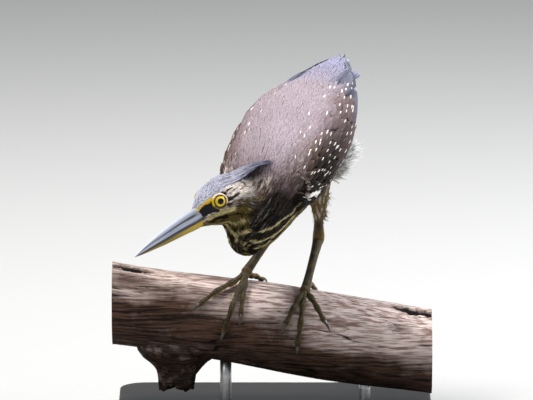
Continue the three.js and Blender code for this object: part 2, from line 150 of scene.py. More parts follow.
class Profile:
    """A smooth curve through knots, level at its ends and never past a knot.

    Between two knots the height is their cubic Hermite blend with harmonic-mean slopes, so a rise
    stays a rise and a fall stays a fall.
    """

    def __init__(self, *knots: tuple[float, float]) -> None:
        """Works out the slope at each knot from its neighbours.

        Args:
            knots: x and height of each knot, in order.
        """
        self.x, self.y = np.array(knots, float).T
        slope = np.diff(self.y) / np.diff(self.x)
        before, after = slope[:-1], slope[1:]
        self.tangent = np.zeros(len(self.x))
        turning = before * after <= 0
        total = np.where(turning, 1.0, before + after)
        self.tangent[1:-1] = np.where(turning, 0.0, 2.0 * before * after / total)

    def __call__(self, x: Array | float) -> Array:
        """The height at each x, held level beyond the ends.

        Args:
            x: any numbers.

        Returns:
            The heights.
        """
        x = np.asarray(x, float)
        i = np.clip(np.searchsorted(self.x, x, side="right") - 1, 0, len(self.x) - 2)
        run = self.x[i + 1] - self.x[i]
        t = np.clip((x - self.x[i]) / run, 0.0, 1.0)
        rest = 1.0 - t
        heights = self.y[i] * (1 + 2 * t) * rest**2 + self.y[i + 1] * t * t * (3 - 2 * t)
        return heights + run * t * rest * (self.tangent[i] * rest - self.tangent[i + 1] * t)


@dataclass(frozen=True)
class Axes:
    """A frame with an origin and three directions: along, to the bird's left, and up."""

    origin: Array
    along: Array
    left: Array
    up: Array

    @classmethod
    def turned(cls, origin: Sequence[float], yaw: float, pitch: float, tailward: bool) -> "Axes":
        """A frame turned by yaw from -Y towards the bird's right and tipped by pitch, in degrees.

        Args:
            origin: its place.
            yaw: turn about the vertical.
            pitch: rise of the first axis.
            tailward: the first axis points to the tail instead of the bill.

        Returns:
            The frame.
        """
        turn, tip = math.radians(yaw), math.radians(pitch)
        sign = 1.0 if tailward else -1.0
        level = np.array([sign * math.sin(turn), sign * math.cos(turn), 0.0])
        along = level * math.cos(tip) + np.array([0.0, 0.0, math.sin(tip)])
        left = np.array([math.cos(turn), -math.sin(turn), 0.0])
        up = np.cross(left, along) if tailward else np.cross(along, left)
        return cls(np.array(origin, float), along, left, up)

    def point(self, along: Array | float, left: Array | float, up: Array | float) -> Array:
        """Places given by their three coordinates in this frame.

        Args:
            along: distance along.
            left: distance to the left.
            up: distance up.

        Returns:
            (..., 3) places.
        """
        a, b, c = np.broadcast_arrays(*(np.asarray(v, float) for v in (along, left, up)))
        moved = a[..., None] * self.along + b[..., None] * self.left + c[..., None] * self.up
        return self.origin + moved

    def local(self, points: Array) -> tuple[Array, Array, Array]:
        """The three coordinates in this frame of places."""
        away = points - self.origin
        return away @ self.along, away @ self.left, away @ self.up


class Path:
    """A centripetal Catmull-Rom curve through points, with its parameter from 0 to 1."""

    def __init__(self, points: Array) -> None:
        """Adds a mirrored point beyond each end and works out each span's cubic.

        Args:
            points: (n, 3) places.
        """
        inner = np.asarray(points, float)
        ends = 2 * inner[0] - inner[1], 2 * inner[-1] - inner[-2]
        p = np.vstack([ends[0], inner, ends[1]])
        gap = np.sqrt(np.linalg.norm(np.diff(p, axis=0), axis=1))[:, None]
        self.start, self.stop = p[1:-2], p[2:-1]
        d0, d1, d2 = gap[:-2], gap[1:-1], gap[2:]
        slope = np.diff(p, axis=0) / gap
        wide = (p[2:-1] - p[:-3]) / (d0 + d1), (p[3:] - p[1:-2]) / (d1 + d2)
        self.leave = (slope[:-2] - wide[0] + slope[1:-1]) * d1
        self.reach = (slope[1:-1] - wide[1] + slope[2:]) * d1

    def at(self, t: Array) -> Array:
        """Places on the curve.

        Args:
            t: from 0 to 1.

        Returns:
            (..., 3) places.
        """
        spans = len(self.start)
        scaled = np.clip(np.asarray(t, float), 0.0, 1.0) * spans
        i = np.minimum(scaled.astype(int), spans - 1)
        w = (scaled - i)[..., None]
        a, b, c, d = self.start[i], self.stop[i], self.leave[i], self.reach[i]
        return a + c * w + (3 * (b - a) - 2 * c - d) * w**2 + (2 * (a - b) + c + d) * w**3

    def tangent(self, t: Array) -> Array:
        """Unit directions along the curve."""
        t = np.asarray(t, float)
        return unit(self.at(np.minimum(t + 1e-3, 1.0)) - self.at(np.maximum(t - 1e-3, 0.0)))


class Slot(Enum):
    """The record's material slots."""

    BACK = "plumage_back"
    WING = "plumage_wing"
    TAIL = "plumage_tail"
    CROWN = "plumage_crown"
    NECK = "plumage_neck"
    DOWN = "plumage_down"
    BILL_UPPER = "bill_upper"
    BILL_LOWER = "bill_lower"
    EYE = "eye"
    LEG = "leg_skin"
    CLAW = "claw"
    WOOD = "wood"
    BASE = "base"
    ROD = "rod"


# ---------------------------------------------------------------- meshes
def ring_faces(rings: int, sides: int, closed: bool = True) -> Array:
    """Quads between rings of points that follow each other, as (n, 4) vertex numbers.

    Args:
        rings: number of rings.
        sides: points in each.
        closed: each ring closes on itself.

    Returns:
        (n, 4) vertex numbers.
    """
    count = sides if closed else sides - 1
    i, j = np.meshgrid(np.arange(rings - 1), np.arange(count), indexing="ij")
    after = (j + 1) % sides
    quads = np.stack([i * sides + j, i * sides + after, (i + 1) * sides + after, (i + 1) * sides + j], -1)
    return quads.reshape(-1, 4)


@dataclass
class Surface:
    """Points and faces of one closed surface, with what its material reads.

    Attributes:
        points: (n, 3) places in millimetres in the perch's frame.
        quads: (m, 4) vertex numbers.
        tris: (k, 3) vertex numbers.
        maps: UV maps by name, as (n, 2) for each point.
        tint: (n, 4) colours, or None.
    """

    points: Array
    quads: Array
    tris: Array = field(default_factory=lambda: np.zeros((0, 3), int))
    maps: dict[str, Array] = field(default_factory=dict)
    tint: Array | None = None

    @classmethod
    def lofted(cls, rings: Array, first: Array, last: Array) -> "Surface":
        """A closed surface through rings (r, s, 3), each end drawn together on a point of its own.

        Args:
            rings: (r, s, 3) places.
            first: point that closes the first ring.
            last: point that closes the last.

        Returns:
            The surface.
        """
        count, sides = rings.shape[:2]
        points = np.vstack([rings.reshape(-1, 3), first, last])
        low, high = count * sides, count * sides + 1
        j = np.arange(sides)
        after = (j + 1) % sides
        base = (count - 1) * sides
        fans = np.vstack(
            [
                np.stack([np.full(sides, low), after, j], -1),
                np.stack([np.full(sides, high), base + j, base + after], -1),
            ]
        )
        return cls(points, ring_faces(count, sides), fans).outward()

    def corners(self) -> Array:
        """All faces as triangles, (n, 3) vertex numbers."""
        return np.vstack([self.quads[:, [0, 1, 2]], self.quads[:, [0, 2, 3]], self.tris])

    def volume(self) -> float:
        """The enclosed volume, negative where the faces point inwards."""
        a, b, c = (self.points[self.corners()[:, i]] for i in range(3))
        return float(np.einsum("ij,ij->i", a, np.cross(b, c)).sum() / 6.0)

    def outward(self) -> "Surface":
        """The surface itself, or with every face reversed if they point inwards.

        Returns:
            The surface, facing outwards.
        """
        if self.volume() > 0:
            return self
        return Surface(self.points, self.quads[:, ::-1], self.tris[:, ::-1], self.maps, self.tint)

    def mapped(self, name: str, across: Array, along: Array, last: float = 1.0) -> None:
        """Gives a lofted surface a map by side and ring; its end points lie at (0, 0) and (0, last)."""
        self.maps[name] = np.vstack([stacked(across, along).reshape(-1, 2), [[0, 0], [0, last]]])

    def ringed(self, colours: Array) -> None:
        """Gives a lofted surface its colours (r, s, 3); each end point takes its ring's first one."""
        tint = tinted(colours)
        self.tint = np.vstack([tint.reshape(-1, 4), tint[0, :1], tint[-1, :1]])

    @classmethod
    def joined(cls, parts: Sequence["Surface"]) -> "Surface":
        """Several surfaces as one; all have the same maps and all or none have a tint.

        Args:
            parts: the surfaces.

        Returns:
            One surface.
        """
        starts = np.cumsum([0] + [len(p.points) for p in parts[:-1]])
        return cls(
            np.vstack([p.points for p in parts]),
            np.vstack([p.quads + s for p, s in zip(parts, starts)]),
            np.vstack([p.tris + s for p, s in zip(parts, starts)]),
            {key: np.vstack([p.maps[key] for p in parts]) for key in parts[0].maps},
            None if parts[0].tint is None else np.vstack([p.tint for p in parts]),
        )

    def build(self, name: str) -> bpy.types.Object:
        """Makes the mesh object, smooth, lifted onto the stand and in metres, and links it to the scene.

        Args:
            name: the object's name.

        Returns:
            The object.
        """
        mesh = bpy.data.meshes.new(name)
        loops = np.concatenate([self.quads.ravel(), self.tris.ravel()]).astype(np.int32)
        split = 4 * len(self.quads)
        starts = np.concatenate([np.arange(0, split, 4), split + np.arange(0, 3 * len(self.tris), 3)])
        mesh.vertices.add(len(self.points))
        mesh.vertices.foreach_set("co", to_world(self.points).astype(np.float32).ravel())
        mesh.loops.add(len(loops))
        mesh.loops.foreach_set("vertex_index", loops)
        mesh.polygons.add(len(starts))
        mesh.polygons.foreach_set("loop_start", starts.astype(np.int32))
        mesh.polygons.foreach_set("use_smooth", np.ones(len(starts), bool))
        for key, places in self.maps.items():
            layer = mesh.uv_layers.new(name=key)
            layer.data.foreach_set("uv", places[loops].astype(np.float32).ravel())
        if self.tint is not None:
            colours = mesh.color_attributes.new(name="tint", type="FLOAT_COLOR", domain="POINT")
            colours.data.foreach_set("color", self.tint.astype(np.float32).ravel())
        mesh.update(calc_edges=True)
        made = bpy.data.objects.new(name, mesh)
        bpy.context.scene.collection.objects.link(made)
        return made


def to_world(points: Array) -> Array:
    """Places in the perch's frame in millimetres, as metres above the floor."""
    return (points + np.array([0.0, 0.0, PERCH_HEIGHT])) * MM


def add_piece(
    surface: Surface, name: str, finish: bpy.types.Material, slot: Slot, *nodes: str
) -> bpy.types.Object:
    """Builds a piece, gives it its finish, hangs it on the body and hides the solids that it stands for.

    Args:
        surface: its shape.
        name: its name.
        finish: its material.
        slot: the record's material slot; not used.
        nodes: the solids that it stands for.

    Returns:
        The new object.
    """
    made = surface.build(name)
    made.data.materials.append(finish)
    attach(made, BODY)
    if nodes:
        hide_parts(*nodes)
    LOG.info("%s: %d triangles", name, 2 * len(surface.quads) + len(surface.tris))
    return made


def tube(
    path: Path,
    radius: Callable[[Array], tuple[Array, Array]],
    side: Array,
    rings: int,
    sides: int,
    swell: Callable[[Array, Array], Array] | None = None,
    dome: int = 4,
) -> Surface:
    """A closed tube: an oval carried along a path, with round ends.

    The oval stands square to the path, its first radius across and its second upwards. Each end is a
    quarter turn of ever smaller ovals.

    Args:
        path: the middle line.
        radius: both radii at t from 0 to 1.
        side: a direction that fixes the roll.
        rings: ovals along the path.
        sides: points round each oval.
        swell: height added to the surface at (t, turn), turn in radians from the across direction.
        dome: ovals in each rounded end.

    Returns:
        The surface, with a map "Along" of turn and t.
    """
    tips = np.radians(np.linspace(90, 0, dome + 1)[1:-1]) if dome else np.zeros(0)
    t = np.concatenate([np.zeros(len(tips)), np.linspace(0, 1, rings), np.ones(len(tips))])
    lean = np.concatenate([-tips, np.zeros(rings), tips[::-1]])
    tangent = path.tangent(t)
    up = unit(np.cross(tangent, side))
    across = unit(np.cross(up, tangent))
    first, second = radius(t)
    centre = path.at(t) + tangent * (np.sin(lean) * np.minimum(first, second))[:, None]
    turn = turns(sides)
    extra = swell(t[:, None], turn[None]) if swell else np.zeros((len(t), sides))
    squeeze = np.cos(lean)[:, None]
    a = (first[:, None] + extra) * squeeze * np.cos(turn)
    b = (second[:, None] + extra) * squeeze * np.sin(turn)
    points = centre[:, None] + a[..., None] * across[:, None] + b[..., None] * up[:, None]
    ends = [path.at(e) + path.tangent(e) * s * min(radius(e)) for e, s in ((0.0, -1), (1.0, 1))]
    made = Surface.lofted(points, *ends)
    made.mapped("Along", turn[None] / (2 * np.pi), t[:, None])
    return made


class Side(Enum):
    """The bird's two sides, with the sign of their sideways direction."""

    LEFT = 1
    RIGHT = -1

    @property
    def label(self) -> str:
        """The word used in names."""
        return self.name.lower()


# ---------------------------------------------------------------- the bird's form
@dataclass(frozen=True)
class OvalBody:
    """A form with an oval section that changes along its axis.

    Attributes:
        axes: its frame, with the axis along.
        start: first section.
        end: last section.
        width: half width by place along the axis.
        top: height of the upper half.
        bottom: depth of the lower half.
        middle: level of the section's widest line.
    """

    axes: Axes
    start: float
    end: float
    width: Profile
    top: Callable[[Array], Array]
    bottom: Callable[[Array], Array]
    middle: Profile

    def surface(self, along: Array, angle: Array, offset: Array | float = 0.0) -> Array:
        """Places on the form: half width times sine, height times cosine, moved out by an offset.

        Args:
            along: place along the axis.
            angle: degrees from the top towards the left.
            offset: distance out along the section's normal.

        Returns:
            The points.
        """
        turn = np.radians(angle)
        sin, cos = np.sin(turn), np.cos(turn)
        width = self.width(along)
        height = np.where(cos > 0, self.top(along), self.bottom(along))
        normal = unit(stacked(sin * height, cos * width))
        left = sin * width + normal[..., 0] * offset
        up = self.middle(along) + cos * height + normal[..., 1] * offset
        return self.axes.point(along, left, up)

    def reading(self, points: Array) -> tuple[Array, Array, Array]:
        """Where points are on the form.

        The distance is the radial one, the length of the point's own radius less the section's
        radius the same way, joined at the ends with the distance beyond them.

        Args:
            points: places.

        Returns:
            Place along the axis, signed angle in degrees, and distance out from the surface.
        """
        along, left, up = self.axes.local(points)
        inside = np.clip(along, self.start, self.end)
        rise = up - self.middle(inside)
        width = self.width(inside)
        height = np.where(rise > 0, self.top(inside), self.bottom(inside))
        share = np.maximum(np.hypot(left / width, rise / height), 0.05)
        out = np.hypot(left, rise) * (1.0 - 1.0 / share)
        beyond = np.abs(along - inside)
        distance = np.where(beyond > 0, np.hypot(np.maximum(out, 0.0), beyond) + np.minimum(out, 0.0), out)
        return along, np.degrees(np.arctan2(left / width, rise / height)), distance


TRUNK_AXES = Axes.turned((-7.0, -42.3, 107.3), 20.2, 18.8, tailward=True)
HEAD_AXES = Axes.turned((-44.9, -80.0, 103.2), 44.3, -17.2, tailward=False)

TRUNK = OvalBody(
    TRUNK_AXES,
    -33.0,
    162.0,
    Profile(
        (-34, 0.5), (-29, 12), (-18, 20), (-4, 26), (25, 31), (60, 33), (95, 30), (125, 23), (145, 15.5),
        (160, 8)
    ),
    Profile(
        (-34, 0.5), (-29, 9), (-18, 17), (-4, 24), (25, 30), (60, 32), (95, 27.5), (125, 18.5), (145, 12),
        (160, 5)
    ),
    Profile(
        (-34, 0.5), (-29, 13), (-18, 24), (-4, 33), (25, 38), (60, 36.5), (95, 29), (125, 17), (145, 9),
        (160, 4)
    ),
    Profile((-34, -10), (0, 0), (60, 2), (110, 3), (140, 6.5), (160, 11)),
)

HEAD_TOP = Profile((-34, 3), (-24, 9), (-10, 11), (0, 9.2), (10, 5.6), (16, 0.3))
HEAD_MIDDLE = Profile((-34, -6), (-10, -4), (0, -4), (9, -6), (16, -7.6))
HEAD_BOTTOM = Profile((-34, -16), (-22, -21), (-6, -20.5), (6, -16.2), (16, -13.8))
HEAD = OvalBody(
    HEAD_AXES,
    -34.0,
    15.7,
    Profile((-34, 8), (-24, 13.5), (-10, 14), (0, 11.6), (8, 8.2), (16, 5.2)),
    lambda x: HEAD_TOP(x) - HEAD_MIDDLE(x),
    lambda x: HEAD_MIDDLE(x) - HEAD_BOTTOM(x),
    HEAD_MIDDLE,
)


def head_turn(points: Array) -> tuple[Array, Array, Array]:
    """Place along the head, degrees down from its top on either side, and the distance to its left."""
    along, left, up = HEAD_AXES.local(points)
    return along, np.degrees(np.arctan2(np.abs(left), up - HEAD_MIDDLE(along))), left


@dataclass(frozen=True)
class WingPad:
    """The folded wing as a raised crescent on the trunk's side, between two edges given as angles.

    Attributes:
        start: place along the trunk where it begins.
        end: where it ends.
        thickness: height of its bulge over its edge.
        edge: height of its edge.
        upper: the upper edge's angle by place along the trunk.
        lower: the lower edge's.
        fullness: share of the bulge by place.
    """

    start: float = -13.0
    end: float = 160.0
    thickness: float = 5.2
    edge: float = 1.4
    upper: Profile = Profile((-13, 80), (-4, 56), (25, 44), (60, 40), (100, 40), (130, 46), (160, 58))
    lower: Profile = Profile((-13, 92), (-4, 116), (25, 127), (60, 124), (100, 116), (135, 102), (160, 80))
    fullness: Profile = Profile(
        (-13, 0.6), (-4, 0.85), (30, 1), (75, 0.95), (105, 0.6), (140, 0.2), (160, 0.1)
    )

    def share(self, along: Array, angle: Array) -> Array:
        """How far down the wing an angle is: 0 at the upper edge and 1 at the lower."""
        top, bottom = self.upper(along), self.lower(along)
        return (np.abs(angle) - top) / (bottom - top)

    def angle(self, along: Array, share: Array) -> Array:
        """The angle at a share of the way down the wing."""
        return self.upper(along) + (self.lower(along) - self.upper(along)) * share

    def height(self, along: Array, angle: Array, soft: float = 0.07) -> Array:
        """The wing's height over the trunk: an edge, plus a bulge by a sine across the wing.

        Args:
            along: place along the trunk.
            angle: angle from the back.
            soft: share of the wing over which each edge rounds off.

        Returns:
            Heights in millimetres.
        """
        share = self.share(along, angle)
        inside = np.clip(share, 0.0, 1.0)
        bulge = np.maximum(np.sin(np.pi * inside), 0.0) ** 0.6
        rim = smoothstep(-soft / 2, soft, share) * smoothstep(1 + soft / 2, 1 - soft, share)
        front = smoothstep(self.start - 4, self.start + 6, along)
        rear = smoothstep(self.end + 5, self.end - 6, along)
        return rim * (front * rear) * (self.edge + self.thickness * self.fullness(along) * bulge)


WING = WingPad()
# The lores' limits as angles from the crown by place along the head: top, yellow over black, bottom.
LORE_TOP = Profile((1, 38), (4, 36), (8.5, 28), (13, 21), (16, 15))
LORE_SPLIT = Profile((1, 60), (5, 56), (9.5, 50), (14.5, 43), (16, 34))
LORE_BOTTOM = Profile((1, 98), (8, 88), (15.5, 78))
EYE_PLACE = np.array([-1.8, 7.7, -0.2])  # in the head's frame, for the left eye
EYE_RADIUS = 5.6
GAZE = unit(np.array([0.45, 0.85, 0.24]))


@dataclass(frozen=True)
class LimbShape:
    """Where one leg's joints are, in the perch's frame."""

    joint: tuple[float, float, float]
    heel: tuple[float, float, float]
    knee: tuple[float, float, float]


LIMBS = {
    Side.LEFT: LimbShape((20.7, -13.0, 28.6), (30.2, 25.7, 57.8), (30.0, -4.0, 112.0)),
    Side.RIGHT: LimbShape((-19.5, -6.0, 40.5), (8.5, 30.0, 75.0), (-14.0, -4.0, 116.0)),
}


class BeadRow:
    """A limb or neck as overlapping balls along a path, for distances to its rounded form."""

    def __init__(
        self, path: Path, radius: Profile, count: int, span: tuple[float, float] = (0.0, 1.0)
    ) -> None:
        """Places the balls evenly in the path's parameter."""
        t = np.linspace(*span, count)
        self.centres, self.radii, self.tangents, self.t = path.at(t), radius(t), path.tangent(t), t

    def reading(self, points: Array) -> tuple[Array, Array]:
        """Distance out from the nearest ball, and that ball's number, for each point.

        Args:
            points: (n, 3) places.

        Returns:
            (n,) distances and (n,) numbers.
        """
        squares = (points**2).sum(-1)[:, None] - 2 * points @ self.centres.T + (self.centres**2).sum(-1)[None]
        reach = np.sqrt(np.maximum(squares, 1e-6)) - self.radii[None]
        nearest = reach.argmin(1)
        return reach[np.arange(len(points)), nearest], nearest


class BirdForm:
    """The bird's outer form as one smooth function of place: negative inside, zero at the coat's outside.

    The trunk with its wings, the neck's two lengths, the head and the thighs each give a distance;
    they are joined by a rounded minimum, so the skin runs from one to the next without a seam.
    """

    # how deep the skin lies inside the coat
    DEPTH = {
        "trunk": 2.0, "neck_upper": 1.7, "neck_lower": 2.0, "head": 0.85, "thigh_left": 1.5,
        "thigh_right": 1.5
    }

    def __init__(self) -> None:
        """Lays out the neck and the thighs."""
        upper = Path(np.array([(-26, -58, 101), (-20.5, -63, 90), (-20, -72, 78)], float))
        lower = Path(np.array([(-18.5, -74, 76), (-13, -66, 83), (-8, -54, 92.5), (-8, -40, 101)], float))
        self.neck = [
            BeadRow(upper, Profile((0, 15), (0.45, 16.9), (1, 12.4)), 22),
            BeadRow(lower, Profile((0, 11.6), (0.3, 15.6), (0.65, 20.3), (1, 24.6)), 26),
        ]
        self.thighs = []
        for limb in LIMBS.values():
            knee, heel = np.array(limb.knee), np.array(limb.heel)
            line = Path(knee + (heel - knee) * np.array([0, 0.25, 0.5, 0.7])[:, None])
            self.thighs.append(BeadRow(line, Profile((0, 9.2), (0.4, 7.4), (0.8, 4.8), (1, 3.2)), 22))
        self.side = unit(HEAD_AXES.left + TRUNK_AXES.left)

    def features(self, points: Array) -> Array:
        """What the face adds to the head's plain oval: brows, hollow lores, full cheeks and eye rims.

        Args:
            points: (n, 3) places.

        Returns:
            (n,) heights over the oval.
        """
        along, left, up = HEAD_AXES.local(points)
        place = np.stack([along, np.abs(left), up], -1)
        total = np.zeros(len(points))
        for centre, spread, height in (
            ((-1.0, 10.0, 6.2), (6.0, 3.0, 2.2), 0.7),
            ((9.5, 6.5, -2.6), (5.0, 3.0, 3.2), -0.7),
            ((-6.4, 12.4, -1.0), (2.6, 3.0, 4.0), 0.7),
            ((-8.0, 12.0, -12.0), (9.0, 4.0, 4.0), 0.7),
            ((1.0, 10.0, -7.6), (5.0, 3.0, 2.4), -0.35),
        ):
            total += height * np.exp(-(((place - centre) / np.array(spread)) ** 2).sum(-1))
        return total

    def parts(self, points: Array) -> dict[str, Array]:
        """The distance of each part's outside from points.

        Args:
            points: (n, 3) places.

        Returns:
            (n,) distances by the part's name.
        """
        along, angle, trunk = TRUNK.reading(points)
        upper, lower = (row.reading(points)[0] for row in self.neck)
        head = HEAD.reading(points)[2] - self.features(points)
        return {
            "trunk": trunk - WING.height(along, angle),
            "neck_upper": upper,
            "neck_lower": lower,
            "head": head,
            "thigh_left": self.thighs[0].reading(points)[0],
            "thigh_right": self.thighs[1].reading(points)[0],
        }

    def value(self, points: Array) -> Array:
        """The joined distance.

        Args:
            points: (n, 3) places.

        Returns:
            (n,) distances.
        """
        part = self.parts(points)
        neck = soft_min(part["neck_upper"], part["neck_lower"], 5.0)
        body = soft_min(part["trunk"], neck, 6.0)
        body = soft_min(body, part["head"], 3.5)
        return soft_min(body, soft_min(part["thigh_left"], part["thigh_right"], 1.0), 5.0)

    def slope(self, points: Array, value: Array | None = None) -> Array:
        """The function's steepest rise at points, by small steps along each axis.

        Args:
            points: (n, 3) places.
            value: the function there, if known.

        Returns:
            (n, 3) slopes.
        """
        here = self.value(points) if value is None else value
        step = 0.25
        moved = [self.value(points + step * axis) for axis in np.eye(3)]
        return (np.stack(moved, -1) - here[:, None]) / step

    def settle(self, points: Array, height: Array | float, steps: int = 3) -> tuple[Array, Array]:
        """Moves points straight in or out until the function has a given height there.

        Args:
            points: (n, 3) places.
            height: the value wanted, negative inside.
            steps: corrections made.

        Returns:
            The moved points and their outward unit normals.
        """
        for _ in range(steps):
            here = self.value(points)
            slope = self.slope(points, here)
            steep = np.maximum((slope**2).sum(-1), 0.25)
            shift = np.clip((here - height) / steep, -2.5, 2.5)
            points = points - shift[:, None] * slope
        return points, unit(slope)

    def neck_reading(self, points: Array) -> tuple[Array, Array]:
        """Where points are on the neck.

        Returns:
            Place along it, 0 at the nape, 1 at the loop and 2 at the breast, and the angle in degrees
            from the front of the neck, positive to the bird's left.
        """
        reach, nearest = zip(*(row.reading(points) for row in self.neck))
        upper = reach[0] < reach[1]
        pick = [row.centres[n] for row, n in zip(self.neck, nearest)]
        turn = [row.tangents[n] for row, n in zip(self.neck, nearest)]
        centre = np.where(upper[:, None], pick[0], pick[1])
        tangent = np.where(upper[:, None], turn[0], turn[1])
        place = np.where(upper, self.neck[0].t[nearest[0]], 1.0 + self.neck[1].t[nearest[1]])
        front = unit(np.cross(tangent, self.side))
        away = points - centre
        return place, np.degrees(np.arctan2(away @ self.side, (away * front).sum(-1)))

    def coat_depth(self, points: Array) -> Array:
        """How far the skin lies inside the coat's outside: thin on the face, deeper on neck and body."""
        nearness = {key: np.exp(-np.clip(value, -20, 30) / 2.0) for key, value in self.parts(points).items()}
        return sum(nearness[key] * depth for key, depth in self.DEPTH.items()) / sum(nearness.values())

    def flow(self, points: Array, normals: Array) -> Array:
        """The lie of the coat at points: backwards from the bill, down the throat, and to the tail.

        Each part has its own direction; they are mixed by nearness and laid in the surface.

        Args:
            points: places on the coat.
            normals: outward directions there.

        Returns:
            Unit directions.
        """
        part = self.parts(points)
        weight = {key: np.exp(-np.clip(value, -15, 30) / 3.0) for key, value in part.items()}
        cheek = smoothstep(4, -14, HEAD_AXES.local(points)[2])[:, None]
        head = -HEAD_AXES.along - 0.45 * cheek * HEAD_AXES.up
        _, angle = self.neck_reading(points)
        nearest = [row.reading(points)[1] for row in self.neck]
        front = smoothstep(95, 45, np.abs(angle))[:, None]
        down = self.neck[0].tangents[nearest[0]] * (0.35 + 0.9 * front)
        down = down - HEAD_AXES.along * (1.0 - 0.75 * front)
        back = self.neck[1].tangents[nearest[1]]
        thigh = [unit(row.centres[-1] - row.centres[0]) for row in self.thighs]
        total = (
            weight["trunk"][:, None] * TRUNK_AXES.along
            + weight["head"][:, None] * head
            + weight["neck_upper"][:, None] * down
            + weight["neck_lower"][:, None] * back
            + 1.5 * weight["thigh_left"][:, None] * thigh[0]
            + 1.5 * weight["thigh_right"][:, None] * thigh[1]
        )
        total -= (total * normals).sum(-1)[:, None] * normals
        return unit(total)


# ---------------------------------------------------------------- markings
class Shade:
    """The plumage's colours, as linear red, green and blue."""

    CROWN = shade(172, 171, 186)
    CREST = shade(84, 86, 108)
    BROW = shade(200, 202, 218)
    MANTLE = shade(165, 150, 157)
    NAPE = shade(112, 94, 96)
    RUMP = shade(152, 150, 176)
    WING = shade(116, 97, 98)
    WING_DARK = shade(22, 15, 12)
    WHITE = shade(246, 240, 236)
    NECK = shade(14, 9, 5)
    NECK_BROWN = shade(80, 61, 52)
    STREAK = shade(240, 226, 216)
    CREAM = shade(206, 190, 138)
    CREAM_DARK = shade(118, 102, 56)
    RUFOUS = shade(104, 78, 56)
    EAR = shade(14, 11, 6)
    THROAT_DARK = shade(28, 22, 12)
    BELLY = shade(150, 138, 122)
    VENT = shade(250, 248, 243)
    THIGH = shade(112, 94, 54)
    SLATE = shade(112, 118, 140)
    LORE = shade(232, 188, 40)
    LORE_BLACK = shade(22, 21, 26)


class Plane(Enum):
    """The middle plane that turns a marking on the left into the one on the right."""

    HEAD = "head"
    NECK = "neck"


@dataclass(frozen=True)
class Stroke:
    """A drawn marking: a course over the coat on the bird's left.

    Attributes:
        plane: the part whose middle plane mirrors it.
        width: its full width in millimetres.
        colour: its colour.
        course: places in the perch's frame, which are laid on the coat before use.
        strength: share of the colour at its middle.
    """

    plane: Plane
    width: float
    colour: Array
    course: tuple[tuple[float, float, float], ...]
    strength: float = 0.95


STROKES = (
    # the cheek's pale stripe, the dark line under it and a second pale stripe
    Stroke(
        Plane.HEAD, 3.3, Shade.CREAM * 1.1,
        ((-46.6, -90.4, 91.4), (-38.9, -87.4, 94.6), (-30.1, -83.7, 97), (-25, -80.5, 97.7))
    ),
    Stroke(
        Plane.HEAD, 2.4, Shade.CREAM_DARK, ((-27, -81.5, 97.3), (-22, -79.6, 97.2), (-15, -78.9, 96.8)), 0.8
    ),
    Stroke(
        Plane.HEAD, 1.3, Shade.THROAT_DARK,
        ((-44.5, -88.3, 89.8), (-36, -85.2, 92.6), (-26, -80.6, 93.6), (-13.6, -80.3, 94.2))
    ),
    Stroke(
        Plane.HEAD, 1.9, Shade.CREAM,
        (
            (-43, -82.5, 87.2), (-37.9, -79.5, 86.6), (-30.2, -79.8, 86.4), (-23.9, -81.5, 88.6),
            (-19.8, -82, 90.4)
        ),
        0.85
    ),
    Stroke(
        Plane.HEAD, 1.1, Shade.THROAT_DARK, ((-34, -80, 84), (-28.5, -80.6, 84.2), (-22, -82.6, 85.6)), 0.8
    ),
    # the ear's pale arc
    Stroke(
        Plane.HEAD, 1.0, Shade.CREAM_DARK,
        ((-20, -78, 100.4), (-15.8, -75.4, 103.4), (-10.6, -73.4, 104.6), (-5.4, -73.4, 102.6)), 0.8
    ),
    # down the throat to the loop of the neck
    Stroke(
        Plane.NECK, 2.1, Shade.CREAM,
        (
            (-35.5, -75, 84.4), (-33.8, -76, 82.9), (-30.2, -80.1, 81.5), (-26.5, -84.2, 79.1),
            (-22.9, -86, 74.7), (-21.3, -85.3, 71.4), (-19.8, -83.5, 67.9)
        ),
        0.9
    ),
    Stroke(
        Plane.NECK, 2.8, Shade.THROAT_DARK,
        ((-30.7, -78.7, 80.8), (-30, -81, 78), (-28.1, -82.6, 73), (-26, -81.3, 68.5))
    ),
    Stroke(
        Plane.NECK, 1.0, Shade.CREAM, ((-32.8, -76.1, 77.6), (-31.7, -78, 74.3), (-29.1, -79.7, 70.4)), 0.85
    ),
    # three stripes from the loop back to the breast
    Stroke(
        Plane.NECK, 3.4, Shade.THROAT_DARK,
        ((-15.1, -85.5, 79.2), (-9.2, -83, 78.6), (-2.6, -78.2, 80.1), (4, -71.6, 83.4), (11.4, -61.2, 87.8)),
        0.9
    ),
    Stroke(
        Plane.NECK, 1.2, Shade.CREAM,
        (
            (-12.5, -84.3, 81.6), (-6.9, -81.7, 82.5), (-0.1, -76.9, 84.3), (5.6, -71.1, 88),
            (12.9, -59.6, 91.2), (18.1, -56, 96.7), (21.8, -53, 98.8)
        ),
        0.8
    ),
    Stroke(
        Plane.NECK, 1.4, Shade.CREAM,
        (
            (-18.7, -86.6, 77.4), (-11.5, -84.3, 74.9), (-5.3, -79.6, 76.1), (2.5, -72.2, 79),
            (9.8, -62.9, 84.7), (17, -52, 89)
        ),
        0.8
    ),
    Stroke(
        Plane.NECK, 1.5, Shade.CREAM,
        (
            (-15.1, -84.2, 70.1), (-10, -81.3, 70.9), (-5.8, -76.7, 71.4), (-1.7, -75.3, 75.1),
            (1.4, -72.9, 77.8)
        ),
        0.75
    ),
)


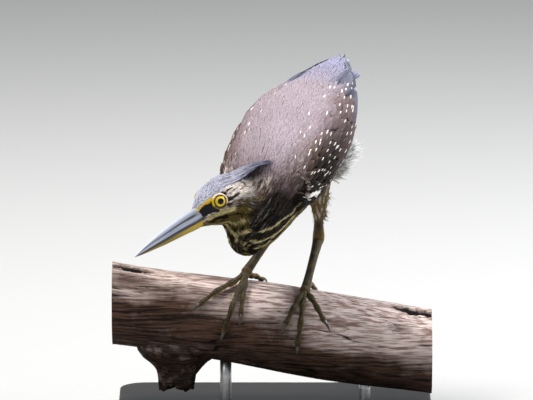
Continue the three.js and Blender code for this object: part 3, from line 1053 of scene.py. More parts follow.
class Markings:
    """Where each colour of the plumage lies, worked out from place alone, for skin and feathers alike."""

    REACH = 4.0  # how far off a stroke can still colour a point

    def __init__(self, bird: BirdForm) -> None:
        """Keeps the bird's form, and lays every stroke and its mirror image on the coat."""
        self.bird = bird
        self.laid = [(stroke, self.lay(stroke, side)) for stroke in STROKES for side in Side]

    def lay(self, stroke: Stroke, side: Side) -> tuple[Array, Array]:
        """A stroke's course on one side as close points on the coat, with the outward directions there.

        Args:
            stroke: the stroke.
            side: the bird's side.

        Returns:
            Places and outward directions.
        """
        path = Path(np.array(stroke.course, float))
        points = path.at(np.linspace(0, 1, 90))
        if side is Side.RIGHT and stroke.plane is Plane.HEAD:
            along, left, up = HEAD_AXES.local(points)
            points = HEAD_AXES.point(along, -left, up)
        elif side is Side.RIGHT:
            centres = np.vstack([row.centres for row in self.bird.neck])
            nearest = np.linalg.norm(points[:, None] - centres[None], axis=-1).argmin(1)
            away = (points - centres[nearest]) @ self.bird.side
            points = points - 2.0 * away[:, None] * self.bird.side
        return self.bird.settle(points, -0.6, 3)

    def lengthwise(self, points: Array, axis: Array, length: float, width: float, seed: int) -> Array:
        """Streaky noise: long cells along an axis and narrow ones across it.

        Args:
            points: (n, 3) places.
            axis: the streaks' direction.
            length: of a cell.
            width: of a cell.
            seed: picks the noise.

        Returns:
            (n,) values from -1 to 1.
        """
        side = unit(np.cross(axis, [0.0, 0.0, 1.0]))
        third = np.cross(axis, side)
        cells = np.stack([points @ axis / length, points @ side / width, points @ third / width], -1)
        return value_noise(cells, seed)

    def on_trunk(self, points: Array) -> Array:
        """Pinkish grey above, bluer at the rump, brown wings and a pale belly.

        Args:
            points: (n, 3) places.

        Returns:
            (n, 3) colours.
        """
        along, angle, _ = TRUNK.reading(points)
        turn = np.abs(angle)
        broad = value_noise(points / 14.0, 3)
        fine = value_noise(points / 1.9, 4)
        colour = blend(Shade.NAPE, Shade.MANTLE, smoothstep(-30, 14, along + 6 * broad))
        colour = blend(colour, Shade.RUMP, 0.9 * smoothstep(92, 142, along + 8 * broad))
        share = WING.share(along, angle)
        shoulder = smoothstep(26, -2, along) * smoothstep(26, 46, turn + 6 * broad)
        shoulder *= smoothstep(-34, -16, along)
        colour = blend(colour, Shade.NECK_BROWN * 0.8, 0.75 * shoulder * smoothstep(-0.7, 0.3, fine))
        wing = smoothstep(-0.1, 0.3, share + 0.12 * broad)
        # painted shade, with the coverts' own dark brown: the wing darkens towards near black down its lower
        # part and at its front
        low = smoothstep(0.08, 0.5, share + 0.1 * broad) * smoothstep(105, 25, along)
        brown = blend(Shade.WING, Shade.RUFOUS * 0.9, 0.6 * smoothstep(60, 5, along))
        front = smoothstep(34, -4, along) * smoothstep(0.0, 0.35, share)
        colour = blend(colour, blend(brown, Shade.WING_DARK, np.maximum(low, 0.85 * front)), wing)
        colour = blend(colour, Shade.SLATE, wing * smoothstep(95, 140, along) * 0.8)
        belly = smoothstep(WING.lower(along) - 2, WING.lower(along) + 8, turn)
        under = blend(Shade.BELLY, Shade.VENT, smoothstep(50, 110, along))
        breast = self.lengthwise(points, TRUNK_AXES.along, 16.0, 2.6, 8)
        striped = blend(Shade.CREAM_DARK, Shade.NECK, smoothstep(-0.1, 0.25, breast))
        under = blend(striped, under, smoothstep(12, 60, along))
        colour = blend(colour, under, belly)
        return colour * (1.0 + 0.08 * fine + 0.06 * broad)[:, None]

    def on_neck(self, points: Array) -> Array:
        """Mauve brown with pale streaks above, nearly black brown at the sides, and olive in front.

        Args:
            points: (n, 3) places.

        Returns:
            (n, 3) colours.
        """
        place, turn = self.bird.neck_reading(points)
        side = np.abs(turn)
        run = np.where(place < 1.0, 32.0 * place, 32.0 + 46.0 * (place - 1.0))
        broad = value_noise(points / 8.0, 12)
        strand = value_noise(np.stack([run / 7.5, turn * 0.3 / 1.05, place // 1.0 * 5.0], -1), 11)
        wide = value_noise(np.stack([run / 13.0, turn * 0.3 / 2.4, place // 1.0 * 5.0], -1), 14)
        limit = Profile((0, 52), (0.35, 84), (0.8, 138), (1, 160), (1.5, 156), (1.75, 142), (2, 134))(place)
        top = smoothstep(limit - 14, limit + 14, side + 7 * broad)
        colour = blend(Shade.NECK, Shade.NECK_BROWN, np.clip(top + 0.25 * wide, 0, 1))
        pale = blend(Shade.STREAK, Shade.RUFOUS, smoothstep(-0.3, 0.3, broad))
        colour = blend(colour, pale, (0.1 + 0.5 * top) * smoothstep(0.35, 0.7, strand))
        back = smoothstep(1.75, 2.0, place) * smoothstep(limit + 4, limit + 30, side)
        colour = blend(colour, Shade.NAPE, 0.8 * back)
        behind = smoothstep(0.55, 0.2, place) * smoothstep(34, 54, side)
        behind *= 0.35 + 0.65 * smoothstep(-0.4, 0.2, strand)
        colour = blend(colour, Shade.STREAK, 0.85 * behind)
        front = blend(Shade.THROAT_DARK, Shade.CREAM_DARK, smoothstep(0.05, 0.45, wide + 0.25 * strand))
        throat = smoothstep(1.0, 0.6, place) * smoothstep(75, 40, side)
        front = blend(front, Shade.CREAM_DARK, 0.75 * throat)
        edge = Profile((0, 62), (0.5, 34), (0.85, 38), (1.2, 62), (2, 70))(place)
        colour = blend(colour, front, smoothstep(edge + 12, edge - 12, side + 7 * broad))
        return colour * (1.0 + 0.12 * value_noise(points / 1.6, 13))[:, None]

    def on_head(self, points: Array) -> Array:
        """Slate crown, whitish streaks behind the eye, a rufous and a black ear patch, and an olive jaw.

        Args:
            points: (n, 3) places.

        Returns:
            (n, 3) colours.
        """
        along, turn, _ = head_turn(points)
        streak = self.lengthwise(points, HEAD_AXES.along, 5.5, 1.2, 21)
        wide = self.lengthwise(points, HEAD_AXES.along, 9.0, 2.0, 24)
        broad = value_noise(points / 6.0, 22)
        white = smoothstep(-1, -13, along) * smoothstep(34, 44, turn) * smoothstep(116, 76, turn)
        pale = 0.02 + 0.56 * white + 0.95 * streak + 0.25 * wide
        face = Shade.NECK_BROWN * (0.25 + 0.35 * white)[:, None]
        face = blend(face, Shade.STREAK, smoothstep(0.18, 0.55, pale))
        rufous = bell(along, -12, 8) * bell(turn, 95, 11)
        face = blend(face, blend(Shade.RUFOUS, Shade.NECK, smoothstep(-0.1, 0.5, streak)), 0.8 * rufous)
        ear = bell(along, -25, 7) * bell(turn, 105, 11)
        face = blend(face, Shade.EAR, np.clip(1.5 * ear, 0, 0.95))
        low = smoothstep(112, 122, turn)
        face = blend(face, blend(Shade.CREAM_DARK, Shade.THROAT_DARK, smoothstep(0.0, 0.6, wide)), low)
        face = blend(face, Shade.CREAM_DARK, 0.8 * smoothstep(140, 165, turn))
        back = smoothstep(-30, -38, along) * smoothstep(95, 110, turn)
        face = blend(face, Shade.NECK, back)
        limit = Profile((-43, 53), (-37, 42), (-24, 34), (-12.5, 41), (-2.5, 44), (8, 34), (15, 40))(along)
        crown = smoothstep(limit + 4, limit - 2, turn + 5 * streak)
        slate = blend(Shade.CREST, Shade.CROWN, smoothstep(-36, -12, along))
        slate = blend(slate, Shade.BROW, smoothstep(-6, 8, along) * 0.8)
        colour = blend(face, slate, crown)
        return colour * (1.0 + 0.07 * value_noise(points / 1.2, 23) + 0.05 * broad)[:, None]

    def on_thigh(self, points: Array) -> Array:
        """Buffy grey-brown with paler ends."""
        streak = self.lengthwise(points, np.array([0.0, 0.45, -0.89]), 7.0, 1.4, 31)
        return blend(Shade.THIGH, Shade.STREAK, 0.6 * smoothstep(0.1, 0.7, streak))

    def drawn(self, points: Array, colour: Array) -> Array:
        """Colours with the strokes drawn over them.

        A point takes a stroke's colour by its distance from the course, measured in the surface, with a
        ragged edge and ends that fade out.

        Args:
            points: (n, 3) places on or near the coat.
            colour: (n, 3) colours so far.

        Returns:
            The new colours.
        """
        colour = colour.copy()
        for stroke, (course, out) in self.laid:
            low, high = course.min(0) - self.REACH, course.max(0) + self.REACH
            near = np.flatnonzero(((points > low) & (points < high)).all(1))
            away = points[near, None] - course[None]
            nearest = (away**2).sum(-1).argmin(1)
            away = away[np.arange(len(near)), nearest]
            deep = (away * out[nearest]).sum(-1)
            gap = np.sqrt(np.maximum((away**2).sum(-1) - deep**2, 0.0))
            share = nearest / (len(course) - 1.0)
            ends = smoothstep(0.0, 0.09, share) * smoothstep(1.0, 0.88, share)
            ragged = 1.0 + 0.35 * value_noise(points[near] / 1.3, 91)
            half = 0.5 * stroke.width * ragged * (0.4 + 0.6 * ends)
            cover = stroke.strength * (0.25 + 0.75 * ends) * smoothstep(1.25, 0.7, gap / half)
            cover *= np.abs(deep) < self.REACH
            colour[near] = blend(colour[near], stroke.colour, cover)
        return colour

    def colours(self, points: Array) -> Array:
        """The plumage's colour at points, mixed from the parts' own by nearness, with the strokes on top.

        Args:
            points: (n, 3) places on or near the coat.

        Returns:
            (n, 3) linear colours.
        """
        part = self.bird.parts(points)
        neck = np.minimum(part["neck_upper"], part["neck_lower"])
        thigh = np.minimum(part["thigh_left"], part["thigh_right"])
        near = [np.exp(-np.clip(d, -12, 30) / 0.7) for d in (part["trunk"], neck, part["head"] - 0.6, thigh)]
        paint = [self.on_trunk(points), self.on_neck(points), self.on_head(points), self.on_thigh(points)]
        total = sum(near)
        colour = sum(p * (n / total)[:, None] for p, n in zip(paint, near))
        forward, turn, _ = head_turn(points)
        streak = self.lengthwise(points, HEAD_AXES.along, 6.0, 1.1, 25)
        behind = smoothstep(-18, -26, forward) * smoothstep(-47, -38, forward) * smoothstep(46, 56, turn)
        behind *= smoothstep(98, 78, turn) * smoothstep(-0.25, 0.3, streak)
        return self.drawn(points, blend(colour, Shade.STREAK, 0.7 * behind))


# ---------------------------------------------------------------- finishes
class Graph:
    """A node tree with short calls for the nodes that the finishes use."""

    def __init__(self, tree: bpy.types.NodeTree) -> None:
        """Keeps the tree."""
        self.tree = tree

    def fill(self, node: bpy.types.Node, inputs: dict[str | int, object]) -> bpy.types.Node:
        """Sets or links a node's inputs, by name or number.

        Args:
            node: the node.
            inputs: values or sockets by input.

        Returns:
            The same node.
        """
        for key, value in inputs.items():
            if isinstance(value, bpy.types.NodeSocket):
                self.tree.links.new(value, node.inputs[key])
            elif node.inputs[key].type == "RGBA" and len(value) == 3:
                node.inputs[key].default_value = (*value, 1.0)
            else:
                node.inputs[key].default_value = value
        return node

    def add(
        self, kind: str, inputs: dict[str | int, object] | None = None, **settings: object
    ) -> bpy.types.Node:
        """Adds a node.

        Args:
            kind: its Blender type.
            inputs: values or other sockets for its inputs, by name or number.
            settings: its properties.

        Returns:
            The node.
        """
        node = self.tree.nodes.new(kind)
        for key, value in settings.items():
            setattr(node, key, value)
        return self.fill(node, inputs or {})

    def math(self, operation: str, *values: object, clamp: bool = False) -> bpy.types.NodeSocket:
        """A math node's result for one to three values."""
        node = self.add("ShaderNodeMath", dict(enumerate(values)), operation=operation, use_clamp=clamp)
        return node.outputs[0]

    def product(self, *values: object) -> bpy.types.NodeSocket:
        """Two or more values multiplied."""
        return reduce(lambda a, b: self.math("MULTIPLY", a, b), values)

    def mix(self, share: object, a: object, b: object, kind: str = "MIX") -> bpy.types.NodeSocket:
        """Two colours mixed by a share."""
        node = self.add("ShaderNodeMix", data_type="RGBA", blend_type=kind)
        return self.fill(node, {0: share, 6: a, 7: b}).outputs[2]

    def span(
        self, value: object, low: float, high: float, start: float = 0.0, end: float = 1.0
    ) -> bpy.types.NodeSocket:
        """A value's share between two limits, as an S-shaped rise from start to end."""
        inputs = {0: value, 1: low, 2: high, 3: start, 4: end}
        return self.add("ShaderNodeMapRange", inputs, interpolation_type="SMOOTHSTEP").outputs[0]

    def noise(
        self, place: object, scale: float, detail: float = 2.0, rough: float = 0.5
    ) -> bpy.types.NodeSocket:
        """A noise from 0 to 1."""
        inputs = {"Vector": place, "Scale": scale, "Detail": detail, "Roughness": rough}
        return self.add("ShaderNodeTexNoise", inputs).outputs[0]

    def split(self, vector: object) -> bpy.types.NodeOutputs:
        """A vector's three values."""
        return self.add("ShaderNodeSeparateXYZ", {0: vector}).outputs

    def squeezed(self, vector: object, scale: tuple[float, float, float]) -> bpy.types.NodeSocket:
        """A vector scaled along each axis."""
        return self.add("ShaderNodeMapping", {0: vector, 3: scale}).outputs[0]

    def place(self) -> bpy.types.NodeSocket:
        """The Object coordinates."""
        return self.add("ShaderNodeTexCoord").outputs["Object"]

    def uv(self, name: str) -> bpy.types.NodeSocket:
        """One of the piece's UV maps."""
        return self.add("ShaderNodeUVMap", uv_map=name).outputs[0]

    def tint(self) -> bpy.types.Node:
        """The piece's own colours, as a node with the outputs Color and Alpha."""
        return self.add("ShaderNodeAttribute", attribute_name="tint")

    def tints(self) -> bpy.types.NodeOutputs:
        """The first three values of the piece's tint, where they stand for other things than a colour."""
        return self.add("ShaderNodeSeparateColor", {0: self.tint().outputs["Color"]}).outputs

    def effect(self, tree: bpy.types.NodeTree, **inputs: object) -> bpy.types.NodeOutputs:
        """Places a shared effect with its own values; underscores in a name stand for blanks."""
        node = self.add("ShaderNodeGroup", node_tree=tree)
        return self.fill(node, {key.replace("_", " "): value for key, value in inputs.items()}).outputs

    def mottled(self, colour: object, scale: float, amount: float) -> bpy.types.NodeOutputs:
        """A colour darkened and lightened by noise, and that noise."""
        return self.effect(EFFECTS.mottle, Place=self.place(), Colour=colour, Scale=scale, Amount=amount)

    def bump(self, height: object, strength: float, distance: float) -> bpy.types.NodeSocket:
        """The normal bent by a height."""
        inputs = {"Strength": strength, "Distance": distance, "Height": height}
        return self.add("ShaderNodeBump", inputs).outputs[0]


class Effects:
    """The shared effects, each a node group built when it's first asked for."""

    @staticmethod
    def new(name: str, takes: dict[str, object], gives: Sequence[str]) -> tuple:
        """A shader node group with named inputs and outputs.

        Args:
            name: its name.
            takes: each input's name and value: a number, a colour, or None for a vector.
            gives: each output's name; one called Colour is a colour, the others are numbers.

        Returns:
            The group's graph, its input sockets and its output node.
        """
        tree = bpy.data.node_groups.new(name, "ShaderNodeTree")
        for label, value in takes.items():
            kind = "Vector" if value is None else "Color" if isinstance(value, tuple) else "Float"
            socket = tree.interface.new_socket(label, in_out="INPUT", socket_type=f"NodeSocket{kind}")
            if value is not None:
                socket.default_value = value
        for label in gives:
            kind = "Color" if label == "Colour" else "Float"
            tree.interface.new_socket(label, in_out="OUTPUT", socket_type=f"NodeSocket{kind}")
        g = Graph(tree)
        given = g.add("NodeGroupInput").outputs
        return g, [given[i] for i in range(len(takes))], g.add("NodeGroupOutput")

    @cached_property
    def barbs(self) -> bpy.types.NodeTree:
        """Barbs that slant out from the shaft, the shaft's ridge, and masks for the edge and the tip.

        Returns:
            The group's tree.
        """
        takes = {"Across": 0.5, "Along": 0.5, "Barbs": 30.0, "Tip Start": 0.74, "Tip Spread": 0.5}
        g, (across, along, barbs, start, spread), out = self.new(
            "feather_barbs", takes, ("Height", "Rim", "Tip", "Shaft")
        )
        aside = g.math("ABSOLUTE", g.math("MULTIPLY_ADD", across, 2.0, -1.0))
        slant = g.product(g.math("SUBTRACT", along, g.product(aside, 0.35)), barbs)
        wave = g.math("SINE", g.product(slant, 6.2832))
        shaft = g.span(aside, 0.16, 0.03)
        height = g.math("ADD", g.product(wave, 0.18), g.product(shaft, 0.6))
        rim = g.math("MAXIMUM", g.span(aside, 0.6, 0.86), g.span(along, 0.88, 0.97))
        wedge = g.math("SUBTRACT", g.math("SUBTRACT", along, g.product(aside, spread)), start)
        g.fill(out, dict(enumerate((height, rim, g.span(wedge, -0.02, 0.03), shaft))))
        return g.tree

    @cached_property
    def mottle(self) -> bpy.types.NodeTree:
        """Two sizes of noise that darken and lighten a colour.

        Returns:
            The group's tree.
        """
        takes = {"Place": None, "Colour": (1, 1, 1, 1), "Scale": 300.0, "Amount": 0.3}
        g, (place, colour, scale, amount), out = self.new("mottle", takes, ("Colour", "Value"))
        coarse, fine = g.noise(place, scale, 3.0), g.noise(place, g.product(scale, 5.0))
        value = g.math("MULTIPLY_ADD", fine, 0.4, g.product(coarse, 0.6))
        bright = g.math("ADD", g.product(g.math("MULTIPLY_ADD", value, 2.0, -1.0), amount), 1.0)
        tone = g.add("ShaderNodeCombineColor", {0: bright, 1: bright, 2: bright}).outputs[0]
        g.fill(out, {0: g.mix(1.0, colour, tone, "MULTIPLY"), 1: value})
        return g.tree

    @cached_property
    def grain(self) -> bpy.types.NodeTree:
        """Long fibres along X, with cracks: noise on places squeezed along the grain and bent a little.

        Returns:
            The group's tree.
        """
        takes = {"Place": None, "Scale": 240.0, "Stretch": 0.06}
        g, (place, scale, stretch), out = self.new("long_grain", takes, ("Fibre", "Crack", "Broad"))
        x, y, z = g.split(place)
        sway = g.math("MULTIPLY_ADD", g.noise(place, 22.0), 0.006, z)
        squeezed = g.add("ShaderNodeCombineXYZ", {0: g.product(x, stretch), 1: y, 2: sway}).outputs[0]
        fibre = g.noise(squeezed, scale, 5.0, 0.6)
        wide = g.noise(squeezed, g.product(scale, 0.16), 3.0, 0.55)
        lines = g.noise(squeezed, g.product(scale, 0.3), 2.0, 0.35)
        narrow = g.span(g.math("ABSOLUTE", g.math("SUBTRACT", lines, 0.5)), 0.007, 0.0)
        crack = g.product(narrow, g.span(g.noise(place, 45.0, 1.0), 0.5, 0.58))
        g.fill(out, {0: fibre, 1: crack, 2: wide})
        return g.tree

    @cached_property
    def scales(self) -> bpy.types.NodeTree:
        """Small rounded scales with dark grooves between them.

        Returns:
            The group's tree.
        """
        g, (place, scale), out = self.new(
            "skin_scales", {"Place": None, "Scale": 900.0}, ("Height", "Groove", "Random")
        )
        cells, which = (
            g.add("ShaderNodeTexVoronoi", {"Vector": place, "Scale": scale}, feature=kind).outputs
            for kind in ("DISTANCE_TO_EDGE", "F1")
        )
        height = g.span(cells[0], 0.0, 0.22)
        random = g.add("ShaderNodeSeparateColor", {0: which["Color"]}).outputs[0]
        g.fill(out, {0: height, 1: g.math("SUBTRACT", 1.0, height), 2: random})
        return g.tree


EFFECTS = Effects()


class Paint(Graph):
    """A material in the making, empty but for its shader and output."""

    def __init__(self, name: str) -> None:
        """Makes the material.

        Args:
            name: the material's name.
        """
        self.made = bpy.data.materials.new(name)
        self.made.use_nodes = True
        self.made.node_tree.nodes.clear()
        super().__init__(self.made.node_tree)
        self.shader = self.add("ShaderNodeBsdfPrincipled")
        self.add("ShaderNodeOutputMaterial", {0: self.shader.outputs[0]})

    def feed(self, **values: object) -> bpy.types.Material:
        """Sets or links the shader's sockets, with underscores for blanks, and gives the material."""
        self.fill(self.shader, {key.replace("_", " "): value for key, value in values.items()})
        return self.made


@dataclass(frozen=True)
class FeatherFinish:
    """Feathers: the piece's own tint, with barbs, a shaft, and edges and tips of other colours.

    Attributes:
        name: the material's name.
        rim: colour of the edges.
        rim_share: how strongly the edges take it, times the tint's fourth value.
        tip: colour of the wedge at the end.
        tip_share: how strongly the end takes it, times the tint's fourth value.
        tip_start: where the wedge starts along the feather.
        tip_spread: how far the wedge's sides lean out.
        shaft_shade: the shaft's brightness against the vane.
        barbs: barbs along the feather.
        roughness: of the surface.
        sheen: a soft bloom.
        relief: depth of the barbs in metres.
        through: share of the light that passes through.
    """

    name: str
    rim: tuple[float, float, float] = srgb(200, 190, 175)
    rim_share: float = 0.0
    tip: tuple[float, float, float] = srgb(245, 240, 232)
    tip_share: float = 0.0
    tip_start: float = 0.74
    tip_spread: float = 0.5
    shaft_shade: float = 0.75
    barbs: float = 14.0
    roughness: float = 0.72
    sheen: float = 0.05
    relief: float = 0.0001
    through: float = 0.0

    def material(self) -> bpy.types.Material:
        """Builds the finish from the map "Vane" and the tint.

        Returns:
            The material.
        """
        g = Paint(self.name)
        across, along, _ = g.split(g.uv("Vane"))
        tint = g.tint().outputs
        barb = g.effect(
            EFFECTS.barbs, Across=across, Along=along, Barbs=self.barbs,
            Tip_Start=self.tip_start, Tip_Spread=self.tip_spread,
        )
        colour = tint["Color"]
        shaft = g.mix(1.0, colour, (self.shaft_shade,) * 3, "MULTIPLY")
        colour = g.mix(g.product(barb["Shaft"], 0.8), colour, shaft)
        for mask, share, paint in (("Rim", self.rim_share, self.rim), ("Tip", self.tip_share, self.tip)):
            if share:
                colour = g.mix(g.product(barb[mask], share, tint["Alpha"]), colour, paint)
        return g.feed(
            Base_Color=g.mottled(colour, 420.0, 0.22)[0], Roughness=self.roughness, Specular_IOR_Level=0.08,
            Sheen_Weight=self.sheen, Sheen_Roughness=0.5, Normal=g.bump(barb["Height"], 0.6, self.relief),
            Subsurface_Weight=self.through, Subsurface_Radius=(1.0, 1.0, 1.0), Subsurface_Scale=0.003,
        )


@dataclass(frozen=True)
class SkinFinish:
    """The skin under the coat: the markings' own colours, matt and finely pocked.

    Attributes:
        name: the material's name.
    """

    name: str = "plumage_skin"

    def material(self) -> bpy.types.Material:
        """Builds the finish.

        Returns:
            The material.
        """
        g = Paint(self.name)
        mottled = g.mottled(g.tint().outputs["Color"], 500.0, 0.3)
        normal = g.bump(mottled[1], 0.7, 0.0002)
        return g.feed(Base_Color=mottled[0], Roughness=0.85, Specular_IOR_Level=0.15, Normal=normal)


@dataclass(frozen=True)
class HornFinish:
    """Bill or claw horn: long fine streaks between two colours under a thin gloss.

    Attributes:
        name: the material's name.
        dark: the colour where the tint's red is 0.
        light: the colour where it's 1.
        roughness: of the horn.
        coat: weight of the gloss.
    """

    name: str
    dark: tuple[float, float, float]
    light: tuple[float, float, float]
    roughness: float = 0.34
    coat: float = 0.35

    def material(self) -> bpy.types.Material:
        """Builds the finish.

        Returns:
            The material.
        """
        g = Paint(self.name)
        streak = g.noise(g.squeezed(g.uv("Along"), (42.0, 3.0, 1.0)), 1.0, 4.0, 0.6)
        share = g.math("ADD", g.tints()[0], g.math("MULTIPLY_ADD", streak, 0.5, -0.25), clamp=True)
        return g.feed(
            Base_Color=g.mottled(g.mix(share, self.dark, self.light), 350.0, 0.16)[0],
            Coat_Weight=self.coat, Coat_Roughness=0.25,
            Roughness=g.math("MULTIPLY_ADD", streak, 0.2, self.roughness - 0.1),
            Normal=g.bump(streak, 0.35, 0.0001),
        )


@dataclass(frozen=True)
class LegFinish:
    """Leg skin: small scales with darker grooves, the tint's colour, and a waxy sheen.

    Attributes:
        name: the material's name.
        size: scales to the metre.
    """

    name: str
    size: float = 1150.0

    def material(self) -> bpy.types.Material:
        """Builds the finish.

        Returns:
            The material.
        """
        g = Paint(self.name)
        tint = g.tint().outputs["Color"]
        scales = g.effect(EFFECTS.scales, Place=g.place(), Scale=self.size)
        dark = g.mix(1.0, tint, (0.42, 0.38, 0.33), "MULTIPLY")
        colour = g.mix(g.product(scales["Groove"], 0.75), tint, dark)
        return g.feed(
            Base_Color=g.mottled(colour, 260.0, 0.35)[0], Normal=g.bump(scales["Height"], 0.8, 0.00016),
            Roughness=g.math("MULTIPLY_ADD", scales["Random"], 0.16, 0.4), Specular_IOR_Level=0.25,
        )


@dataclass(frozen=True)
class EyeFinish:
    """The eye: black pupil, lemon iris darker at its rims, dark brown ring, all under a clear wet coat.

    The map "Disc" gives the turn, and the angle from the gaze as a share of 90 degrees.

    Attributes:
        name: the material's name.
        iris: the iris's colour.
        edge: its rims' colour.
        ring: the dark ring's colour.
    """

    name: str
    iris: tuple[float, float, float] = srgb(236, 206, 40)
    edge: tuple[float, float, float] = srgb(150, 116, 14)
    ring: tuple[float, float, float] = srgb(44, 24, 8)

    def material(self) -> bpy.types.Material:
        """Builds the finish.

        Returns:
            The material.
        """
        g = Paint(self.name)
        turn, out, _ = g.split(g.uv("Disc"))
        wheel = g.add("ShaderNodeCombineXYZ", {0: g.product(turn, 60.0), 1: g.product(out, 5.0)}).outputs[0]
        colour = g.mix(g.product(g.noise(wheel, 1.0, 3.0), 0.4), self.iris, self.edge)
        colour = g.mix(g.product(g.span(out, 0.27, 0.23), 0.6), colour, self.edge)
        colour = g.mix(g.span(out, 0.41, 0.45), colour, self.edge)
        colour = g.mix(g.span(out, 0.245, 0.23), colour, (0.004, 0.004, 0.005))
        colour = g.mix(g.span(out, 0.445, 0.47), colour, self.ring)
        return g.feed(
            Base_Color=colour, Roughness=0.4, Specular_IOR_Level=0.1,
            Coat_Weight=0.7, Coat_Roughness=0.02, Coat_IOR=1.4,
        )


@dataclass(frozen=True)
class BareSkinFinish:
    """Bare skin at lores and lids: the tint's colour, finely wrinkled and a little waxy.

    Attributes:
        name: the material's name.
        size: wrinkles to the metre.
    """

    name: str
    size: float = 2200.0

    def material(self) -> bpy.types.Material:
        """Builds the finish.

        Returns:
            The material.
        """
        g = Paint(self.name)
        wrinkle = g.effect(EFFECTS.scales, Place=g.place(), Scale=self.size)
        return g.feed(
            Base_Color=g.mottled(g.tint().outputs["Color"], 600.0, 0.2)[0],
            Roughness=0.5, Specular_IOR_Level=0.2, Coat_Weight=0.05, Coat_Roughness=0.3,
            Normal=g.bump(wrinkle["Height"], 0.5, 0.0001),
        )


@dataclass(frozen=True)
class WoodFinish:
    """Dead, barkless wood: pale with painted top light above, dark with painted shade below, with fine
    fibres, cracks and ringed sawn ends.

    The tint holds how much painted top light a place takes, how much painted shade it takes in its openings
    and under the log, and if it is sawn. The growth rings are a wave of the distance from the log's axis,
    bent by noise.

    Attributes:
        slope: rise of the log's axis along X.
        name: the material's name.
    """

    slope: float
    name: str = "weathered_wood"

    def material(self) -> bpy.types.Material:
        """Builds the finish.

        Returns:
            The material.
        """
        g = Paint(self.name)
        place, tint = g.place(), g.tints()
        grain = g.effect(EFFECTS.grain, Place=place, Scale=640.0, Stretch=0.05)
        fibre = g.span(grain["Fibre"], 0.36, 0.62)
        # dark and pale ends of the painted top light
        dark = g.mix(fibre, srgb(30, 20, 14), srgb(94, 70, 58))
        pale = g.mix(fibre, srgb(142, 114, 104), srgb(230, 212, 206))
        patch = g.math("MULTIPLY_ADD", grain["Broad"], 1.1, -0.58)
        spot = g.math("MULTIPLY_ADD", g.noise(place, 70.0, 4.0, 0.65), 0.9, -0.47)
        colour = g.mix(g.math("ADD", g.math("ADD", tint[0], patch), spot, clamp=True), dark, pale)
        # painted shade in the fine cracks, darkened to near black
        colour = g.mix(g.product(grain["Crack"], 0.85), colour, srgb(26, 17, 12))
        x, y, z = g.split(place)
        level = g.math("MULTIPLY_ADD", x, -self.slope, g.math("SUBTRACT", z, PERCH_HEIGHT * MM))
        reach = g.math("SQRT", g.math("ADD", g.product(level, level), g.product(y, y)))
        bent = g.math("MULTIPLY_ADD", g.noise(place, 55.0), 0.004, reach)
        rings = g.span(g.math("SINE", g.product(bent, 3600.0)), -0.2, 0.9)
        sawn = g.mix(rings, srgb(150, 124, 104), srgb(104, 82, 66))
        sawn = g.mix(g.product(g.noise(place, 700.0), 0.35), sawn, srgb(70, 54, 43))
        # painted shade: the tint's second value darkens openings and the log's underside to near black
        colour = g.mix(tint[1], g.mix(tint[2], colour, sawn), srgb(15, 9, 6))
        height = g.math("SUBTRACT", grain["Fibre"], g.product(grain["Crack"], 0.9))
        return g.feed(
            Base_Color=colour, Roughness=g.math("MULTIPLY_ADD", fibre, 0.15, 0.72),
            Normal=g.bump(height, 0.8, 0.0006), Specular_IOR_Level=0.12,
        )


@dataclass(frozen=True)
class LacquerFinish:
    """The base's black satin lacquer, worn a little at the edges, where the tint's red is high.

    Attributes:
        name: the material's name.
    """

    name: str = "black_lacquer"

    def material(self) -> bpy.types.Material:
        """Builds the finish.

        Returns:
            The material.
        """
        g = Paint(self.name)
        grain = g.effect(EFFECTS.grain, Place=g.place(), Scale=300.0, Stretch=0.08)
        worn = g.product(g.tints()[0], g.span(grain["Fibre"], 0.45, 0.7))
        colour = g.mix(grain["Fibre"], srgb(24, 22, 21), srgb(38, 35, 33))
        return g.feed(
            Base_Color=g.mix(g.product(worn, 0.6), colour, srgb(92, 80, 68)),
            Coat_Weight=0.2, Coat_Roughness=0.3,
            Roughness=g.math("MULTIPLY_ADD", grain["Broad"], 0.2, 0.3),
            Normal=g.bump(grain["Fibre"], 0.15, 0.0002),
        )


@dataclass(frozen=True)
class SteelFinish:
    """Brushed steel, with fine rings round the rod.

    Attributes:
        name: the material's name.
    """

    name: str = "brushed_steel"

    def material(self) -> bpy.types.Material:
        """Builds the finish.

        Returns:
            The material.
        """
        g = Paint(self.name)
        line = g.noise(g.squeezed(g.place(), (0.3, 0.3, 12.0)), 300.0, 3.0, 0.6)
        colour = g.mix(line, (0.5, 0.5, 0.5), (0.68, 0.67, 0.66))
        rough = g.math("MULTIPLY_ADD", line, 0.25, 0.2)
        return g.feed(Base_Color=colour, Metallic=1.0, Roughness=rough, Normal=g.bump(line, 0.2, 0.0001))


